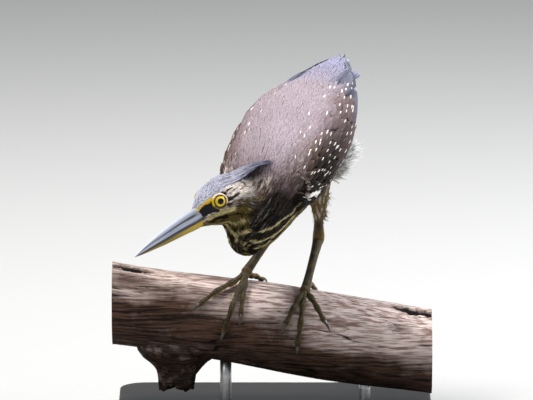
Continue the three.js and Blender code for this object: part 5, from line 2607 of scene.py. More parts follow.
class Tail:
    """Twelve tail feathers in a short rounded fan, with coverts over and under them."""

    COUNT = 12
    LEVEL = Profile((120, 4), (138, 2), (158, 0.5), (178, -5.5))

    def __init__(self) -> None:
        """Seeds the random numbers."""
        self.rng = np.random.default_rng(SEED + 13)

    def build(self) -> bpy.types.Object:
        """Feathers spread by their number, the middle pair on top, arched across the fan.

        Returns:
            The piece.
        """
        number = np.arange(self.COUNT)
        side = np.where(number % 2 == 0, 1.0, -1.0)
        rank = number // 2 / 5.0
        t = QUILL.steps[None]
        along = 128.0 + (50.0 - 4.0 * rank[:, None] ** 2) * t
        aside = side[:, None] * rank[:, None] * (4.0 + 5.6 * t)
        arch = 3.0 * (1.0 - (aside / 16.0) ** 2)
        up = self.LEVEL(along) + arch + 0.8 - 1.5 * rank[:, None]
        lines = TRUNK_AXES.point(along, aside, up)
        outs = unit(TRUNK_AXES.up + (aside / 26.0)[..., None] * TRUNK_AXES.left)
        tint = tinted(Shade.SLATE * self.rng.uniform(0.85, 1.05, (self.COUNT, 1)), 0.8)
        roots = stacked(0.08 + 0.07 * number, 0.4)
        finish = FeatherFinish(
            "tail_feathers", rim=srgb(160, 166, 188), rim_share=0.6, tip_share=0.5, tip_start=0.955,
            tip_spread=0.04, barbs=52.0, roughness=0.56, shaft_shade=0.55,
        )
        surface = vanes(lines, outs, np.full(self.COUNT, 9.5), QUILL, roots, tint, 0.05)
        return add_piece(surface, "tail_feathers", finish.material(), Slot.TAIL, "tail")

    def coverts(self) -> bpy.types.Object:
        """Loose pale feathers under the tail and slate ones at its root above.

        Returns:
            The piece.
        """
        count = 520
        over = self.rng.random(count) < 0.4
        aside = self.rng.uniform(-11, 11, count)
        start = np.where(over, self.rng.uniform(138, 152, count), self.rng.uniform(104, 146, count))
        length = self.rng.uniform(11, 18, count)
        t = LOCK.steps[None]
        along = np.minimum(start[:, None] + length[:, None] * t, 172.0)
        half = np.abs(aside) / 13.0
        under = self.LEVEL(along) + 3.0 * (1 - half[:, None] ** 2) - 2.2 - 1.2 * (1 - t) * 2
        above = self.LEVEL(along) + 3.0 * (1 - half[:, None] ** 2) + 2.2 + 0.8 * (1 - t)
        up = np.where(over[:, None], above, under)
        lines = TRUNK_AXES.point(along, aside[:, None] * (1 + 0.1 * t), up)
        outs = np.where(over, 1.0, -1.0)[:, None, None] * np.broadcast_to(TRUNK_AXES.up, lines.shape)
        colour = np.where(over[:, None], Shade.RUMP, Shade.VENT)
        tint = tinted(colour * self.rng.uniform(0.85, 1.05, (count, 1)))
        roots = own_cells(np.stack([0.05 + 0.9 * (aside + 11) / 22, 0.05 + 0.9 * (start - 100) / 60], -1))
        finish = FeatherFinish("tail_covert_feathers", barbs=9.0)
        surface = vanes(lines, outs, self.rng.uniform(2.0, 3.2, count), LOCK, roots, tint)
        return add_piece(surface, "tail_coverts", finish.material(), Slot.DOWN)


class Down:
    """Loose down on one side: the white bush under the wing's rear and the shaggy ends on the thigh."""

    def __init__(self, side: Side, bird: BirdForm) -> None:
        """Keeps the side and the bird's form."""
        self.side, self.bird = side, bird
        self.rng = np.random.default_rng(SEED + 17)

    def vent(self) -> bpy.types.Object:
        """Plumes that leave the flank just under the wing's lower edge, spreading back and out like a fan.

        Returns:
            The piece.
        """
        count = 760
        share = self.rng.beta(1.7, 1.0, count)
        along = 57.0 + 15.0 * share
        angle = WING.lower(along) + self.rng.uniform(-3, 12, count)
        roots = TRUNK.surface(along, self.side.value * angle, self.rng.uniform(-1.5, 0.5, count))
        out = unit(np.array([0.1 * self.side.value, -0.6, 0.8]) + self.rng.normal(0, 0.2, (count, 3)))
        heading = (
            self.side.value * 1.3 * TRUNK_AXES.left
            + (0.35 + 0.45 * share)[:, None] * TRUNK_AXES.along
            + (-0.5 + 1.3 * share)[:, None] * TRUNK_AXES.up
        )
        heading = unit(heading + self.rng.normal(0, 0.18, (count, 3)))
        length = self.rng.uniform(0.6, 1.0, count) * (9.0 + 10.5 * share)
        bend = self.rng.normal(0, 1.4, (count, 3))
        colour = blend(Shade.VENT, Shade.BELLY, 0.6 * smoothstep(0.35, 0.0, share))
        colour *= self.rng.uniform(0.9, 1.06, (count, 1))
        name = f"vent_down_{self.side.label}"
        finish = FeatherFinish(name, barbs=8.0, shaft_shade=1.0, roughness=0.8, sheen=0.0, through=0.6)
        tuft = Tuft(name, Slot.DOWN, finish, WISP, (1.5, 2.8))
        node = f"vent_tuft_{self.side.label}"
        return tuft.build(roots, heading, length, bend, out, colour, self.rng, node)

    def thigh(self) -> bpy.types.Object:
        """Longer feathers that hang from the thigh's lower half, most behind.

        Returns:
            The piece.
        """
        row = self.bird.thighs[0 if self.side is Side.LEFT else 1]
        count = 260
        pick = self.rng.integers(int(len(row.t) * 0.45), len(row.t), count)
        down = row.tangents[pick]
        across = unit(np.cross(down, TRUNK_AXES.left))
        turn = self.rng.uniform(0, 2 * np.pi, count)
        out = np.cos(turn)[:, None] * across + np.sin(turn)[:, None] * unit(np.cross(across, down))
        behind = smoothstep(-0.3, 0.9, out @ TRUNK_AXES.along)
        out = unit(out + 0.9 * (1 - behind)[:, None] * TRUNK_AXES.along)
        roots = row.centres[pick] + out * (row.radii[pick] * 0.85)[:, None]
        heading = unit(down + out * (0.06 + 0.6 * behind)[:, None] + self.rng.normal(0, 0.12, (count, 3)))
        length = self.rng.uniform(4.0, 6.0, count) + 3.0 * behind
        bend = self.rng.normal(0, 0.9, (count, 3))
        pale = 0.35 * self.rng.random(count) + 0.6 * behind * self.rng.random(count)
        colour = blend(Shade.THIGH, Shade.STREAK, pale) * self.rng.uniform(0.75, 1.1, (count, 1))
        name = f"thigh_down_{self.side.label}"
        tuft = Tuft(name, Slot.DOWN, FeatherFinish(name, barbs=8.0, roughness=0.8), WISP, (0.9, 1.6))
        return tuft.build(roots, heading, length, bend, out, colour, self.rng)

    def build(self) -> None:
        """Makes both pieces."""
        self.vent()
        self.thigh()


# ---------------------------------------------------------------- eyes, lores and bill
def mirrored(places: Array, side: Side) -> Array:
    """Places or directions in the head's frame for the left side, turned over for the right."""
    return places * np.array([1.0, side.value, 1.0])


def head_points(places: Array) -> Array:
    """Places in the head's frame as places in the perch's."""
    return HEAD_AXES.point(places[..., 0], places[..., 1], places[..., 2])


class Eye:
    """One eye with its lids: a ball sunk in the head and a rim of bare skin round it."""

    RIM = (
        # radius and height along the gaze, from the ball outwards and, after the first OUTER, underneath
        (3.98, 3.7), (4.04, 4.05), (4.2, 4.22), (4.4, 4.22), (4.56, 4.08), (4.7, 4.0), (4.88, 4.04),
        (5.1, 3.96), (5.35, 3.7), (5.7, 3.2), (6.0, 2.6), (5.9, 2.0), (5.0, 2.0), (4.2, 2.7),
    )
    OUTER = 10

    def __init__(self, side: Side, bird: BirdForm) -> None:
        """Lays out the gaze and, square to it, the directions forward and up.

        Args:
            side: the bird's side.
            bird: the form that the rim lies on.
        """
        self.side, self.bird = side, bird
        gaze = mirrored(GAZE, side)
        first = unit(np.cross(gaze, [0.0, 0.0, 1.0])) * side.value
        self.basis = np.stack([first, np.cross(first, gaze) * side.value, gaze])
        self.centre = mirrored(EYE_PLACE, side)

    def round_gaze(self, radius: Array, height: Array, turn: Array) -> Array:
        """Places by distance from the gaze line, height along it, and turn about it."""
        local = stacked(radius * np.cos(turn), radius * np.sin(turn), height)
        return head_points(self.centre + local @ self.basis)

    def ball(self) -> bpy.types.Object:
        """A ball by angle from the gaze and turn about it, a little fuller at the cornea.

        Returns:
            The piece.
        """
        out = np.radians(np.concatenate([np.linspace(1.5, 60, 46), np.linspace(66, 177, 14)]))[:, None]
        turn = turns(72)[None]
        radius = EYE_RADIUS * (0.985 + 0.03 * np.exp(-((out / 0.6) ** 2)))
        rings = self.round_gaze(radius * np.sin(out), radius * np.cos(out), turn)
        ends = [self.round_gaze(0.0, h, 0.0) for h in (EYE_RADIUS * 1.015, -EYE_RADIUS * 0.985)]
        surface = Surface.lofted(rings, *ends)
        surface.mapped("Disc", turn / (2 * np.pi), out / (0.5 * np.pi), 2.0)
        name = self.side.label
        finish = EyeFinish(f"eye_clear_{name}")
        return add_piece(surface, f"eyeball_{name}", finish.material(), Slot.EYE, f"eye_{name}")

    def ring_colours(self, forward: Array, rise: Array) -> Array:
        """The bare ring: olive in front and below, pale behind and above, yellow where it meets the lores.

        On the right, whose far edge shows past the crown, its top is as slate as the crown.

        Args:
            forward: how far forward a place lies, from -1 to 1.
            rise: how far up it lies, from -1 to 1.

        Returns:
            (n, 3) colours.
        """
        pale = smoothstep(-0.35, 0.25, 0.9 * rise - 0.5 * forward)
        ring = blend(shade(112, 96, 52), shade(226, 204, 176), pale)
        if self.side is Side.RIGHT:
            ring = blend(ring, Shade.CROWN, 0.9 * smoothstep(0.0, 0.4, rise))
        return blend(ring, Shade.LORE, smoothstep(0.8, 0.96, forward * 0.99 + rise * 0.15))

    def rim(self) -> bpy.types.Object:
        """The lids' edge and bare ring: a closed outline turned about the gaze and laid on the face.

        Returns:
            The piece.
        """
        outline = np.array(self.RIM)
        turn = turns(96)[:, None]
        radius, height = outline.T[:, None]
        crease = 0.05 * np.sin(38 * turn + 3 * radius) * smoothstep(4.4, 5.0, radius)
        points = self.round_gaze(radius, height + crease, turn)
        flat = points.reshape(-1, 3)
        under = np.broadcast_to(np.where(np.arange(len(outline)) < self.OUTER, -0.3, -1.6), points.shape[:2])
        settled, _ = self.bird.settle(flat, under.reshape(-1), 3)
        share = np.broadcast_to(smoothstep(4.9, 5.9, radius), points.shape[:2]).reshape(-1)
        flat = flat + (settled - flat) * share[:, None]
        quads = ring_faces(len(points) + 1, len(outline))
        surface = Surface(flat, quads % len(flat)).outward()
        across, turn = (a.reshape(-1) for a in np.broadcast_arrays(radius, turn))
        ring = self.ring_colours(np.cos(turn), np.sin(turn))
        edge = smoothstep(4.2, 4.6, across + 0.2 * value_noise(flat / 1.2, 53))
        surface.tint = tinted(blend(shade(40, 24, 12), ring, edge))
        name = self.side.label
        finish = BareSkinFinish(f"eye_rim_skin_{name}")
        return add_piece(surface, f"eye_rim_{name}", finish.material(), Slot.CROWN)

    def build(self) -> None:
        """Makes both pieces."""
        self.ball()
        self.rim()


class Lores:
    """The bare skin between the bill and the eye: yellow above, black below."""

    def __init__(self, side: Side, bird: BirdForm) -> None:
        """Keeps the side and the form it lies on."""
        self.side, self.bird = side, bird

    def build(self) -> bpy.types.Object:
        """A thin shell on the head by place along it and angle down it, sunk into the skin at its edges.

        Returns:
            The piece.
        """
        rows, columns = 56, 48
        along = np.linspace(0.8, 15.9, rows)[:, None]
        t = np.linspace(0, 1, columns)[None]
        first = LORE_TOP(along) - (2 if self.side is Side.LEFT else -13)
        angle = first + (LORE_BOTTOM(along) - first + 4) * t
        flat = HEAD.surface(along, self.side.value * angle, -0.5).reshape(-1, 3)
        edge = np.minimum(smoothstep(0, 0.1, t) * smoothstep(1, 0.9, t), smoothstep(0.8, 2.2, along))
        wrinkle = value_noise(flat / np.array([0.9, 0.9, 0.5]), 51).reshape(rows, columns)
        ridge = 0.25 * bell(angle, LORE_SPLIT(along) - 7, 6.0)
        height = -0.5 + ridge + 0.07 * wrinkle - 0.9 * (1 - edge)
        top, _ = self.bird.settle(flat, height.reshape(-1), 4)
        low, _ = self.bird.settle(flat, height.reshape(-1) - 0.7, 4)
        top, low = (face.reshape(rows, columns, 3) for face in (top, low))
        rings = np.concatenate([top, low[:, ::-1]], axis=1)
        surface = Surface.lofted(rings, rings[0].mean(0), rings[-1].mean(0))
        ragged = 2.5 * value_noise(flat / 1.3, 52).reshape(rows, columns)
        yellow = smoothstep(LORE_SPLIT(along) + 2.5, LORE_SPLIT(along) - 2.5, angle + ragged)
        colour = blend(np.broadcast_to(Shade.LORE_BLACK, (rows, columns, 3)), Shade.LORE, yellow)
        surface.ringed(np.concatenate([colour, colour[:, ::-1]], axis=1))
        name = self.side.label
        finish = BareSkinFinish(f"lore_skin_{name}")
        return add_piece(surface, f"lores_{name}", finish.material(), Slot.CROWN)


@dataclass(frozen=True)
class Bill:
    """The dagger bill: two halves that meet on the line of the mouth, which drops towards the tip.

    Attributes:
        base: place along the head where the horn starts.
        length: of the upper half.
        level: the mouth's height at the base.
        width: half width by share of the length.
        culmen: height of the upper half.
        gonys: depth of the lower half.
    """

    base: float = 16.0
    length: float = 60.0
    level: float = -7.6
    width: Profile = Profile((0, 5.2), (0.25, 4.3), (0.5, 3.1), (0.75, 1.9), (0.93, 0.9), (1, 0.35))
    culmen: Profile = Profile((0, 7.6), (0.25, 7.2), (0.5, 5.8), (0.75, 3.8), (0.93, 1.8), (1, 0.5))
    gonys: Profile = Profile((0, 6.0), (0.25, 4.9), (0.5, 3.9), (0.75, 2.3), (0.93, 1.0), (1, 0.4))

    def upper_form(self, along: Array, flank: Array, dome: Array) -> tuple[Array, Array, Array]:
        """The upper half: the culmen's height times the dome, with a ridge, and a groove with the nostril.

        Args:
            along: share of the length.
            flank: degrees up from the mouth on either side.
            dome: the sine of the turn to 0.85.

        Returns:
            What is added to the half width, the rise, and the brightness from 0 to 1.
        """
        slit = bell(along, 0.13, 0.09) * bell(flank, 40, 4.5)
        line = smoothstep(0.93, 0.8, along) * smoothstep(-0.05, 0.08, along) * bell(flank, 40, 4.0)
        ridge = 0.25 * bell(flank, 90, 14) * smoothstep(1.0, 0.6, along)
        streak = value_noise(stacked(2.5 * along, flank / 5.0, 0 * flank), 81)
        # painted highlights: paler along the ridge and in a band low on the side
        light = 0.5 + 0.3 * smoothstep(60, 84, flank)
        light += 0.26 * bell(flank, 22, 7) - 0.16 * bell(flank, 52, 8)
        light = light + 0.3 * streak - 0.45 * line - 0.55 * slit - 0.6 * bell(flank, 2, 9)
        return -0.5 * slit - 0.16 * line, self.culmen(along) * dome + ridge, light

    def lower_form(self, along: Array, flank: Array, dome: Array) -> tuple[Array, Array, Array]:
        """The lower half: the gonys's depth times the dome, with a shallow groove along its side.

        Args:
            along: share of the length.
            flank: degrees down from the mouth on either side.
            dome: the sine of the turn to 0.85.

        Returns:
            What is added to the half width, the rise, and the brightness from 0 to 1.
        """
        groove = smoothstep(0.8, 0.3, along) * bell(flank, 28, 10)
        light = 0.95 - 0.6 * smoothstep(0.0, 0.6, along) - 0.16 * groove - 0.3 * bell(flank, 2, 8)
        return -0.14 * groove, -self.gonys(along) * dome, light

    def half(self, upper: bool) -> Surface:
        """One half: at each place along, half the width times cosine and the half's own rise.

        Args:
            upper: the upper half.

        Returns:
            The surface, its tint's red from 0, dark, to 1, light.
        """
        t = np.linspace(-0.06, 1, 130)[:, None]
        turn = np.radians(np.linspace(0, 180, 61))[None]
        along = np.clip(t, 0, 1)
        sin, cos = np.sin(turn), np.cos(turn)
        flank = np.degrees(np.minimum(turn, np.pi - turn))
        width = self.width(along) * (1 - 0.5 * np.clip(-t, 0, 1))
        level = self.level - 0.2 * along**2 + (GAP / 2 - 0.08) * (1 if upper else -1)
        dent, rise, light = (self.upper_form if upper else self.lower_form)(along, flank, sin**0.85)
        reach = self.length * (1.0 if upper else 0.97)
        side = cos * (width + dent)
        dome = stacked(self.base + t * reach, side, level + rise)
        inner = np.linspace(-0.9, 0.9, 9)[None]
        floor = stacked(self.base + t * reach, inner * width, level + 0 * inner)
        rings = head_points(np.concatenate([dome, floor], axis=1))
        surface = Surface.lofted(rings, rings[0].mean(0), rings[-1].mean(0))
        light = np.concatenate([np.broadcast_to(light, dome.shape[:2]), np.zeros(floor.shape[:2])], axis=1)
        share = np.concatenate([np.clip(light, 0, 1).reshape(-1), [1.0, 1.0]])
        surface.tint = stacked(share, 1.0, 1.0, 1.0)
        surface.mapped("Along", np.linspace(0, 1, rings.shape[1])[None], t)
        return surface

    def build(self) -> None:
        """Makes both halves."""
        # the slate horn's pale end also carries the upper half's painted highlights
        slate = HornFinish("bill_slate_horn", srgb(36, 38, 50), srgb(206, 212, 232))
        olive = HornFinish("bill_olive_horn", srgb(84, 70, 12), srgb(206, 172, 44), 0.42, 0.15)
        add_piece(self.half(True), "bill_upper_horn", slate.material(), Slot.BILL_UPPER, "bill_upper")
        add_piece(self.half(False), "bill_lower_horn", olive.material(), Slot.BILL_LOWER, "bill_lower")


# ---------------------------------------------------------------- branch
@dataclass(frozen=True)
class Branch:
    """The length of dead branch: a swelling log with cracks along it, and a broken stub under it.

    Attributes:
        radius: of the log.
        left: place of the left end.
        right: place of the right end.
        slope: fall of its axis to the right.
    """

    radius: float = 29.6
    left: float = -112.0
    right: float = 108.0
    slope: float = -0.16

    def girth(self, x: Array, angle: Array) -> Array:
        """The log's radius: a mean, with three slow waves along it and round it.

        Args:
            x: place along it.
            angle: degrees round it.

        Returns:
            The radius there.
        """
        turn = np.radians(angle)
        return (
            self.radius
            + 1.1 * np.sin(x * 0.031 + 1.2)
            + 0.7 * np.sin(2 * turn + x * 0.02)
            + 0.45 * np.sin(5 * turn - x * 0.045 + 0.7)
        )

    def point(self, x: Array, angle: Array, offset: Array | float = 0.0) -> Array:
        """Places near the log: along it, round it from the top towards -Y, and out from its surface.

        Args:
            x: place along it.
            angle: degrees round it.
            offset: distance out from the surface.

        Returns:
            (..., 3) places.
        """
        turn = np.radians(angle)
        reach = self.girth(x, angle) + offset
        return stacked(x + 0 * reach, -reach * np.sin(turn), self.slope * x + reach * np.cos(turn))

    @staticmethod
    def slit(x: Array, angle: Array, first: float, last: float, middle: float, half: float) -> Array:
        """A long opening where the surface has peeled, from 0 to 1, its ends pointed and its sides ragged.

        Args:
            x: place along the log.
            angle: degrees round it.
            first: where it starts.
            last: where it ends.
            middle: its angle.
            half: half its width in degrees.

        Returns:
            How open it is there.
        """
        share = np.clip((x - first) / (last - first), 0.0, 1.0)
        wide = half * np.sin(np.pi * share) ** 0.6 + 1e-3
        wave = 1.5 * np.sin(x * 0.9) + 0.8 * np.sin(x * 2.1 + 1.0)
        rough = value_noise(stacked(x / 5.0, angle / 4.0, 0 * angle), 67)
        return smoothstep(1.1, 0.85, np.abs(angle - middle - 0.6 * wave) / wide + 0.6 * rough) * (wide > 0.05)

    def relief(self, x: Array, angle: Array) -> tuple[Array, Array]:
        """Fibres, cracks and peeled slits as a height, and how deep the openings are from 0 to 1.

        Noise on places squeezed along the branch gives the fibres; where a second such noise crosses
        zero lies a crack.

        Args:
            x: place along the log.
            angle: degrees round it.

        Returns:
            Height, and depth of the openings.
        """
        turn = np.radians(angle)

        def cells(length: float, width: float) -> Array:
            """Places squeezed along the branch, in cells of a length and a width."""
            around = np.sin(turn) * self.radius / width, np.cos(turn) * self.radius / width
            return stacked(x / length, *around)

        fibre = 0.3 * value_noise(cells(30, 2.2), 61) + 0.2 * value_noise(cells(16, 1.1), 62)
        fibre += 0.5 * value_noise(cells(60, 9.0), 63)
        line = value_noise(cells(70, 6.0), 64)
        crack = bell(line, 0.0, 0.04) * smoothstep(0.15, 0.5, value_noise(cells(38, 14.0), 65))
        knot = bell(x, 84, 7) * bell(angle, 52, 9)
        peel = self.slit(x, angle, -114, -84, 16, 12.0) + self.slit(x, angle, 80, 110, 12, 9.0)
        return fibre - 1.1 * crack - 0.8 * knot - 2.0 * peel, np.clip(crack + 0.6 * knot + peel, 0, 1)

    def sawn(self, end: float, inward: float, angle: Array) -> tuple[Array, Array]:
        """A sawn end: rings that shrink to the middle, set in a little and rippled by the saw.

        Args:
            end: its place along the log.
            inward: 1 where the log runs on to the right of it and -1 where to the left.
            angle: degrees round the log.

        Returns:
            The rings from the edge inwards, and the middle.
        """
        turn = np.radians(angle)
        shrink = np.array([0.985, 0.93, 0.84, 0.74, 0.63, 0.52, 0.41, 0.3, 0.19, 0.09])[:, None]
        edge, _ = self.relief(np.array([[end]]), angle)
        reach = (self.girth(end, angle) + edge) * shrink
        sunk = inward * (0.3 + 0.12 * np.sin(shrink * 60 + 2 * np.sin(turn)))
        rings = stacked(end + sunk, -reach * np.sin(turn), self.slope * end + reach * np.cos(turn))
        return rings, np.array([end + inward * 0.3, 0.0, self.slope * end])

    def log(self) -> Surface:
        """The log by place along it and angle round it, its sawn ends closed by ever smaller rings.

        Returns:
            The surface.
        """
        x = np.linspace(self.left, self.right, 300)[:, None]
        angle = np.linspace(0, 360, 240, endpoint=False)[None]
        height, depth = self.relief(x, angle)
        body = self.point(x, angle, height - 0.25)
        turn = np.radians(angle)
        places = stacked(x / 34, np.sin(turn) * 2.4, np.cos(turn) * 2.4)
        # painted light: the log is paler to the right and darker to the left end
        painted_side_light = 0.35 * smoothstep(0, 60, x) - 0.25 * smoothstep(-5, -40, x)
        # painted top light: pale on top, fading down the sides, in noisy patches
        painted_top_light = smoothstep(0.15, 1.0, painted_side_light + np.cos(turn - 0.3) + 0.42 * value_noise(places, 66))
        # painted shade: the openings, and the log's underside, are darkened towards near black
        depth = np.clip(depth + 0.45 * smoothstep(0.1, -0.75, np.cos(turn)), 0, 1)
        left, right = self.sawn(self.left, 1.0, angle), self.sawn(self.right, -1.0, angle)
        rings = np.concatenate([left[0][::-1], body, right[0]])
        surface = Surface.lofted(rings, left[1], right[1])
        state = np.broadcast_to([0.5, 0.0, 1.0], rings.shape).copy()
        state[len(left[0]) : -len(right[0])] = stacked(painted_top_light, depth, 0.0)
        surface.ringed(state)
        return surface

    def stub(self) -> Surface:
        """The stub: ovals that flare at the log, with their grain wound round them, ending in splinters.

        Returns:
            The surface.
        """
        middle, across, reach = -66.0, -4.0, 44.7
        top = middle * self.slope
        wide = Profile((-44, 12.6), (-36, 13.2), (-29, 15.5), (-24, 19.5), (-19, 26), (-12, 30), (0, 22))
        t = np.linspace(0, 1, 90)[:, None]
        turn = turns(150)[None]
        z = top - (reach + top - 4.0) * t
        wound = turn + 0.05 * (z + 20)
        grain = 1.1 * value_noise(stacked(z / 16, np.sin(wound) * 7, np.cos(wound) * 7), 71)
        grain += 0.6 * value_noise(stacked(z / 9, np.sin(wound) * 15, np.cos(wound) * 15), 72)
        half = wide(z) + grain - 1.0
        splinter = 2.2 * np.sin(3 * turn + 0.6) + 1.6 * value_noise(
            stacked(0 * z, np.sin(turn) * 6, np.cos(turn) * 6), 73
        )
        ragged = smoothstep(0.82, 1.0, t) * np.maximum(splinter, -3.6)
        lean = -1.8 * smoothstep(0.5, 1.0, t)
        points = stacked(middle + lean + half * np.cos(turn), across + 0.62 * half * np.sin(turn), z + ragged)
        centre = points[-1].mean(0)
        share = np.array([0.86, 0.68, 0.5, 0.32, 0.15])[:, None, None]
        inner = centre + (points[-1] - centre) * share
        inner[..., 2] += 1.2 * np.sin(7 * turn + 11 * share[..., 0]) * share[..., 0]
        rings = np.concatenate([points, inner])
        surface = Surface.lofted(rings, points[0].mean(0), inner[-1].mean(0))
        # painted shade: the stub under the log is darkened, less in noisy patches, and its broken end more
        depth = 0.75 - 0.5 * smoothstep(0.1, 0.5, value_noise(rings / 4.0, 74))
        depth[len(points) :] = 0.8
        surface.ringed(stacked(0.1, depth, 0.0))
        return surface

    def build(self) -> bpy.types.Object:
        """Makes the log and its stub as one piece."""
        both = Surface.joined([self.log(), self.stub()])
        return add_piece(both, "dead_branch", WoodFinish(self.slope).material(), Slot.WOOD, "perch_branch")


BRANCH = Branch()


# ---------------------------------------------------------------- legs
@dataclass(frozen=True)
class Toe:
    """One toe: where it ends, along the branch and in degrees round it, and its thickness."""

    name: str
    x: float
    angle: float
    radius: float


TOES = {
    Side.LEFT: (
        Toe("inner", 7, 74, 1.95), Toe("middle", 15.5, 98, 1.95),
        Toe("outer", 34, 62, 2.0), Toe("hind", 28, -34, 1.95),
    ),
    Side.RIGHT: (
        Toe("inner", -23.5, 72, 1.95), Toe("middle", -35.5, 96, 1.95),
        Toe("outer", -52, 66, 2.0), Toe("hind", -9, -20, 1.95),
    ),
}


class Leg:
    """One bare leg: tibia's end, heel, tarsus, four gripping toes and their claws."""

    OLIVE = shade(108, 92, 44)
    # the scales' darker colour, which also serves as the painted shade on the front
    DARK = shade(36, 28, 15)
    YELLOW = shade(176, 132, 44)
    ACROSS = unit(TRUNK_AXES.left * [1, 1, 0] + [0, 0, 0.02])

    def __init__(self, side: Side) -> None:
        """Keeps the side and the leg's joints.

        Args:
            side: the bird's side.
        """
        self.side = side
        limb = LIMBS[side]
        self.joint, self.heel, self.knee = (np.array(p) for p in (limb.joint, limb.heel, limb.knee))
        self.finish = LegFinish(f"leg_scales_{side.label}").material()
        self.horn = HornFinish(f"claw_horn_{side.label}", srgb(20, 17, 15), srgb(84, 72, 58)).material()

    @staticmethod
    def plates(t: Array, turn: Array, count: float, depth: float) -> Array:
        """Overlapping plates on the front: each rises to its lower edge and drops by a narrow groove.

        Args:
            t: place along the tube.
            turn: turn round it.
            count: of plates.
            depth: of each.

        Returns:
            Heights.
        """
        phase = (t * count) % 1.0
        front = smoothstep(0.1, 0.55, np.sin(turn))
        return front * depth * (phase - 1.6 * (bell(phase, 0.0, 0.09) + bell(phase, 1.0, 0.09)))

    def colours(self, surface: Surface, yellow: Callable[[Array, Array], Array]) -> Array:
        """A tube's colours by t and turn: darker in front, partly its own colour and partly painted shade,
        and yellower where asked.

        Args:
            surface: the tube, with its map "Along".
            yellow: share of yellow by t and turn.

        Returns:
            Its tint.
        """
        turn, t = surface.maps["Along"].T
        turn = turn * 2 * np.pi
        front = smoothstep(-0.1, 0.7, np.sin(turn))
        patch = value_noise(surface.points / 3.1, 81)
        # painted shade, with the scales' own darker colour: the front is darkened
        colour = blend(self.OLIVE, self.DARK, np.clip(0.72 * front + 0.4 * patch, 0, 1))
        colour = blend(colour, self.YELLOW, np.clip(yellow(t, turn), 0, 1))
        return tinted(colour * (1 + 0.15 * patch)[:, None])

    def shank(self) -> bpy.types.Object:
        """The tibia's bare end, the knobbed heel and the tarsus as one tube with plates down the front.

        Returns:
            The piece.
        """
        up, down = self.knee - self.heel, self.joint - self.heel
        inward = unit(unit(up) + unit(down))
        knots = [self.heel + up * 0.44, self.heel + up * 0.2, self.heel + inward * 1.0]
        knots += [self.heel + down * share for share in (0.13, 0.35, 0.65, 0.9, 1.0)]
        radius = Profile(
            (0, 2.6), (0.14, 3.2), (0.27, 4.15), (0.42, 3.3), (0.57, 2.75), (0.72, 2.6), (0.87, 3.0), (1, 3.3)
        )

        def swell(t: Array, turn: Array) -> Array:
            """Plates on the tarsus, its tendon, and folds round the heel.

            Args:
                t: place along the tube.
                turn: turn round it.

            Returns:
                Heights.
            """
            tendon = 0.22 * np.cos(2 * turn) * smoothstep(0.35, 0.5, t)
            fold = -0.22 * sum(bell(t, place, 0.008) for place in (0.2, 0.235, 0.27, 0.305))
            fold = fold * smoothstep(-0.9, 0.2, np.sin(turn))
            return self.plates(t, turn, 44.0, 0.15) * smoothstep(0.3, 0.4, t) + tendon + fold

        line = Path(np.array(knots))
        surface = tube(line, lambda t: (radius(t), radius(t) * 1.05), TRUNK_AXES.left, 260, 32, swell)
        surface.tint = self.colours(
            surface, lambda t, turn: 0.55 * smoothstep(0.1, -0.8, np.sin(turn)) + 0.3 * bell(t, 0.26, 0.06)
        )
        name = self.side.label
        return add_piece(surface, f"scaled_shank_{name}", self.finish, Slot.LEG, f"shank_{name}")

    def pad(self) -> bpy.types.Object:
        """The foot's pad where the toes meet: a ball with low warts.

        Returns:
            The piece.
        """
        turn = turns(40)[None]
        fall = np.radians(np.linspace(4, 176, 26))[:, None]
        direction = stacked(np.sin(fall) * np.cos(turn), np.sin(fall) * np.sin(turn), np.cos(fall))
        bumps = 0.16 * value_noise(direction * 4.5, 82)
        rings = self.joint + direction * (3.62 + bumps)[..., None]
        surface = Surface.lofted(rings, self.joint + [0, 0, 3.6], self.joint - [0, 0, 3.6])
        surface.maps["Along"] = np.tile([0.3, 0.5], (len(surface.points), 1))
        surface.tint = self.colours(surface, lambda t, turn: 0.15 + 0 * t)
        surface.maps = {}
        name = self.side.label
        return add_piece(surface, f"foot_pad_{name}", self.finish, Slot.LEG, f"foot_{name}")

    def toe_line(self, toe: Toe) -> Array:
        """A toe's middle line: out of the joint, down to the branch and round it to its end.

        Args:
            toe: the toe.

        Returns:
            (8, 3) places.
        """
        x0, y0, z0 = self.joint
        first = math.degrees(math.atan2(-y0, z0 - BRANCH.slope * x0))
        t = np.linspace(0, 1, 8)
        lift = np.maximum(0.0, 1.0 - t * 2.6) ** 1.5
        height = float(np.linalg.norm(self.joint - BRANCH.point(np.array(x0), np.array(first))))
        rest = toe.radius + GAP + 0.5 * toe.radius * np.sin(np.pi * t) ** 2
        offset = rest + (height - rest) * lift
        return BRANCH.point(x0 + (toe.x - x0) * t, first + (toe.angle - first) * t, offset)

    def toe(self, toe: Toe) -> bpy.types.Object:
        """A toe with swollen joints, plates on top and soft pads beneath.

        Args:
            toe: the toe.

        Returns:
            The piece.
        """
        line = self.toe_line(toe)

        def radius(t: Array) -> tuple[Array, Array]:
            """Thinner towards the claw, thicker at each joint."""
            girth = toe.radius * (1.12 - 0.3 * t) * (1 + 0.18 * np.cos(t * 2 * np.pi * 3.2))
            return girth, girth * 0.92

        def swell(t: Array, turn: Array) -> Array:
            """Plates above and pads below."""
            under = smoothstep(0.0, -0.8, np.sin(turn))
            return self.plates(t, turn, 17.0, 0.18) + under * 0.14 * np.sin(t * 2 * np.pi * 9)

        surface = tube(Path(line), radius, self.ACROSS, 120, 24, swell)
        surface.tint = self.colours(surface, lambda t, turn: 0.7 * smoothstep(0.25, -0.3, np.sin(turn)) - 0.2)
        name = f"{self.side.label}_{toe.name}"
        return add_piece(surface, f"scaled_toe_{name}", self.finish, Slot.LEG, f"toe_{name}")

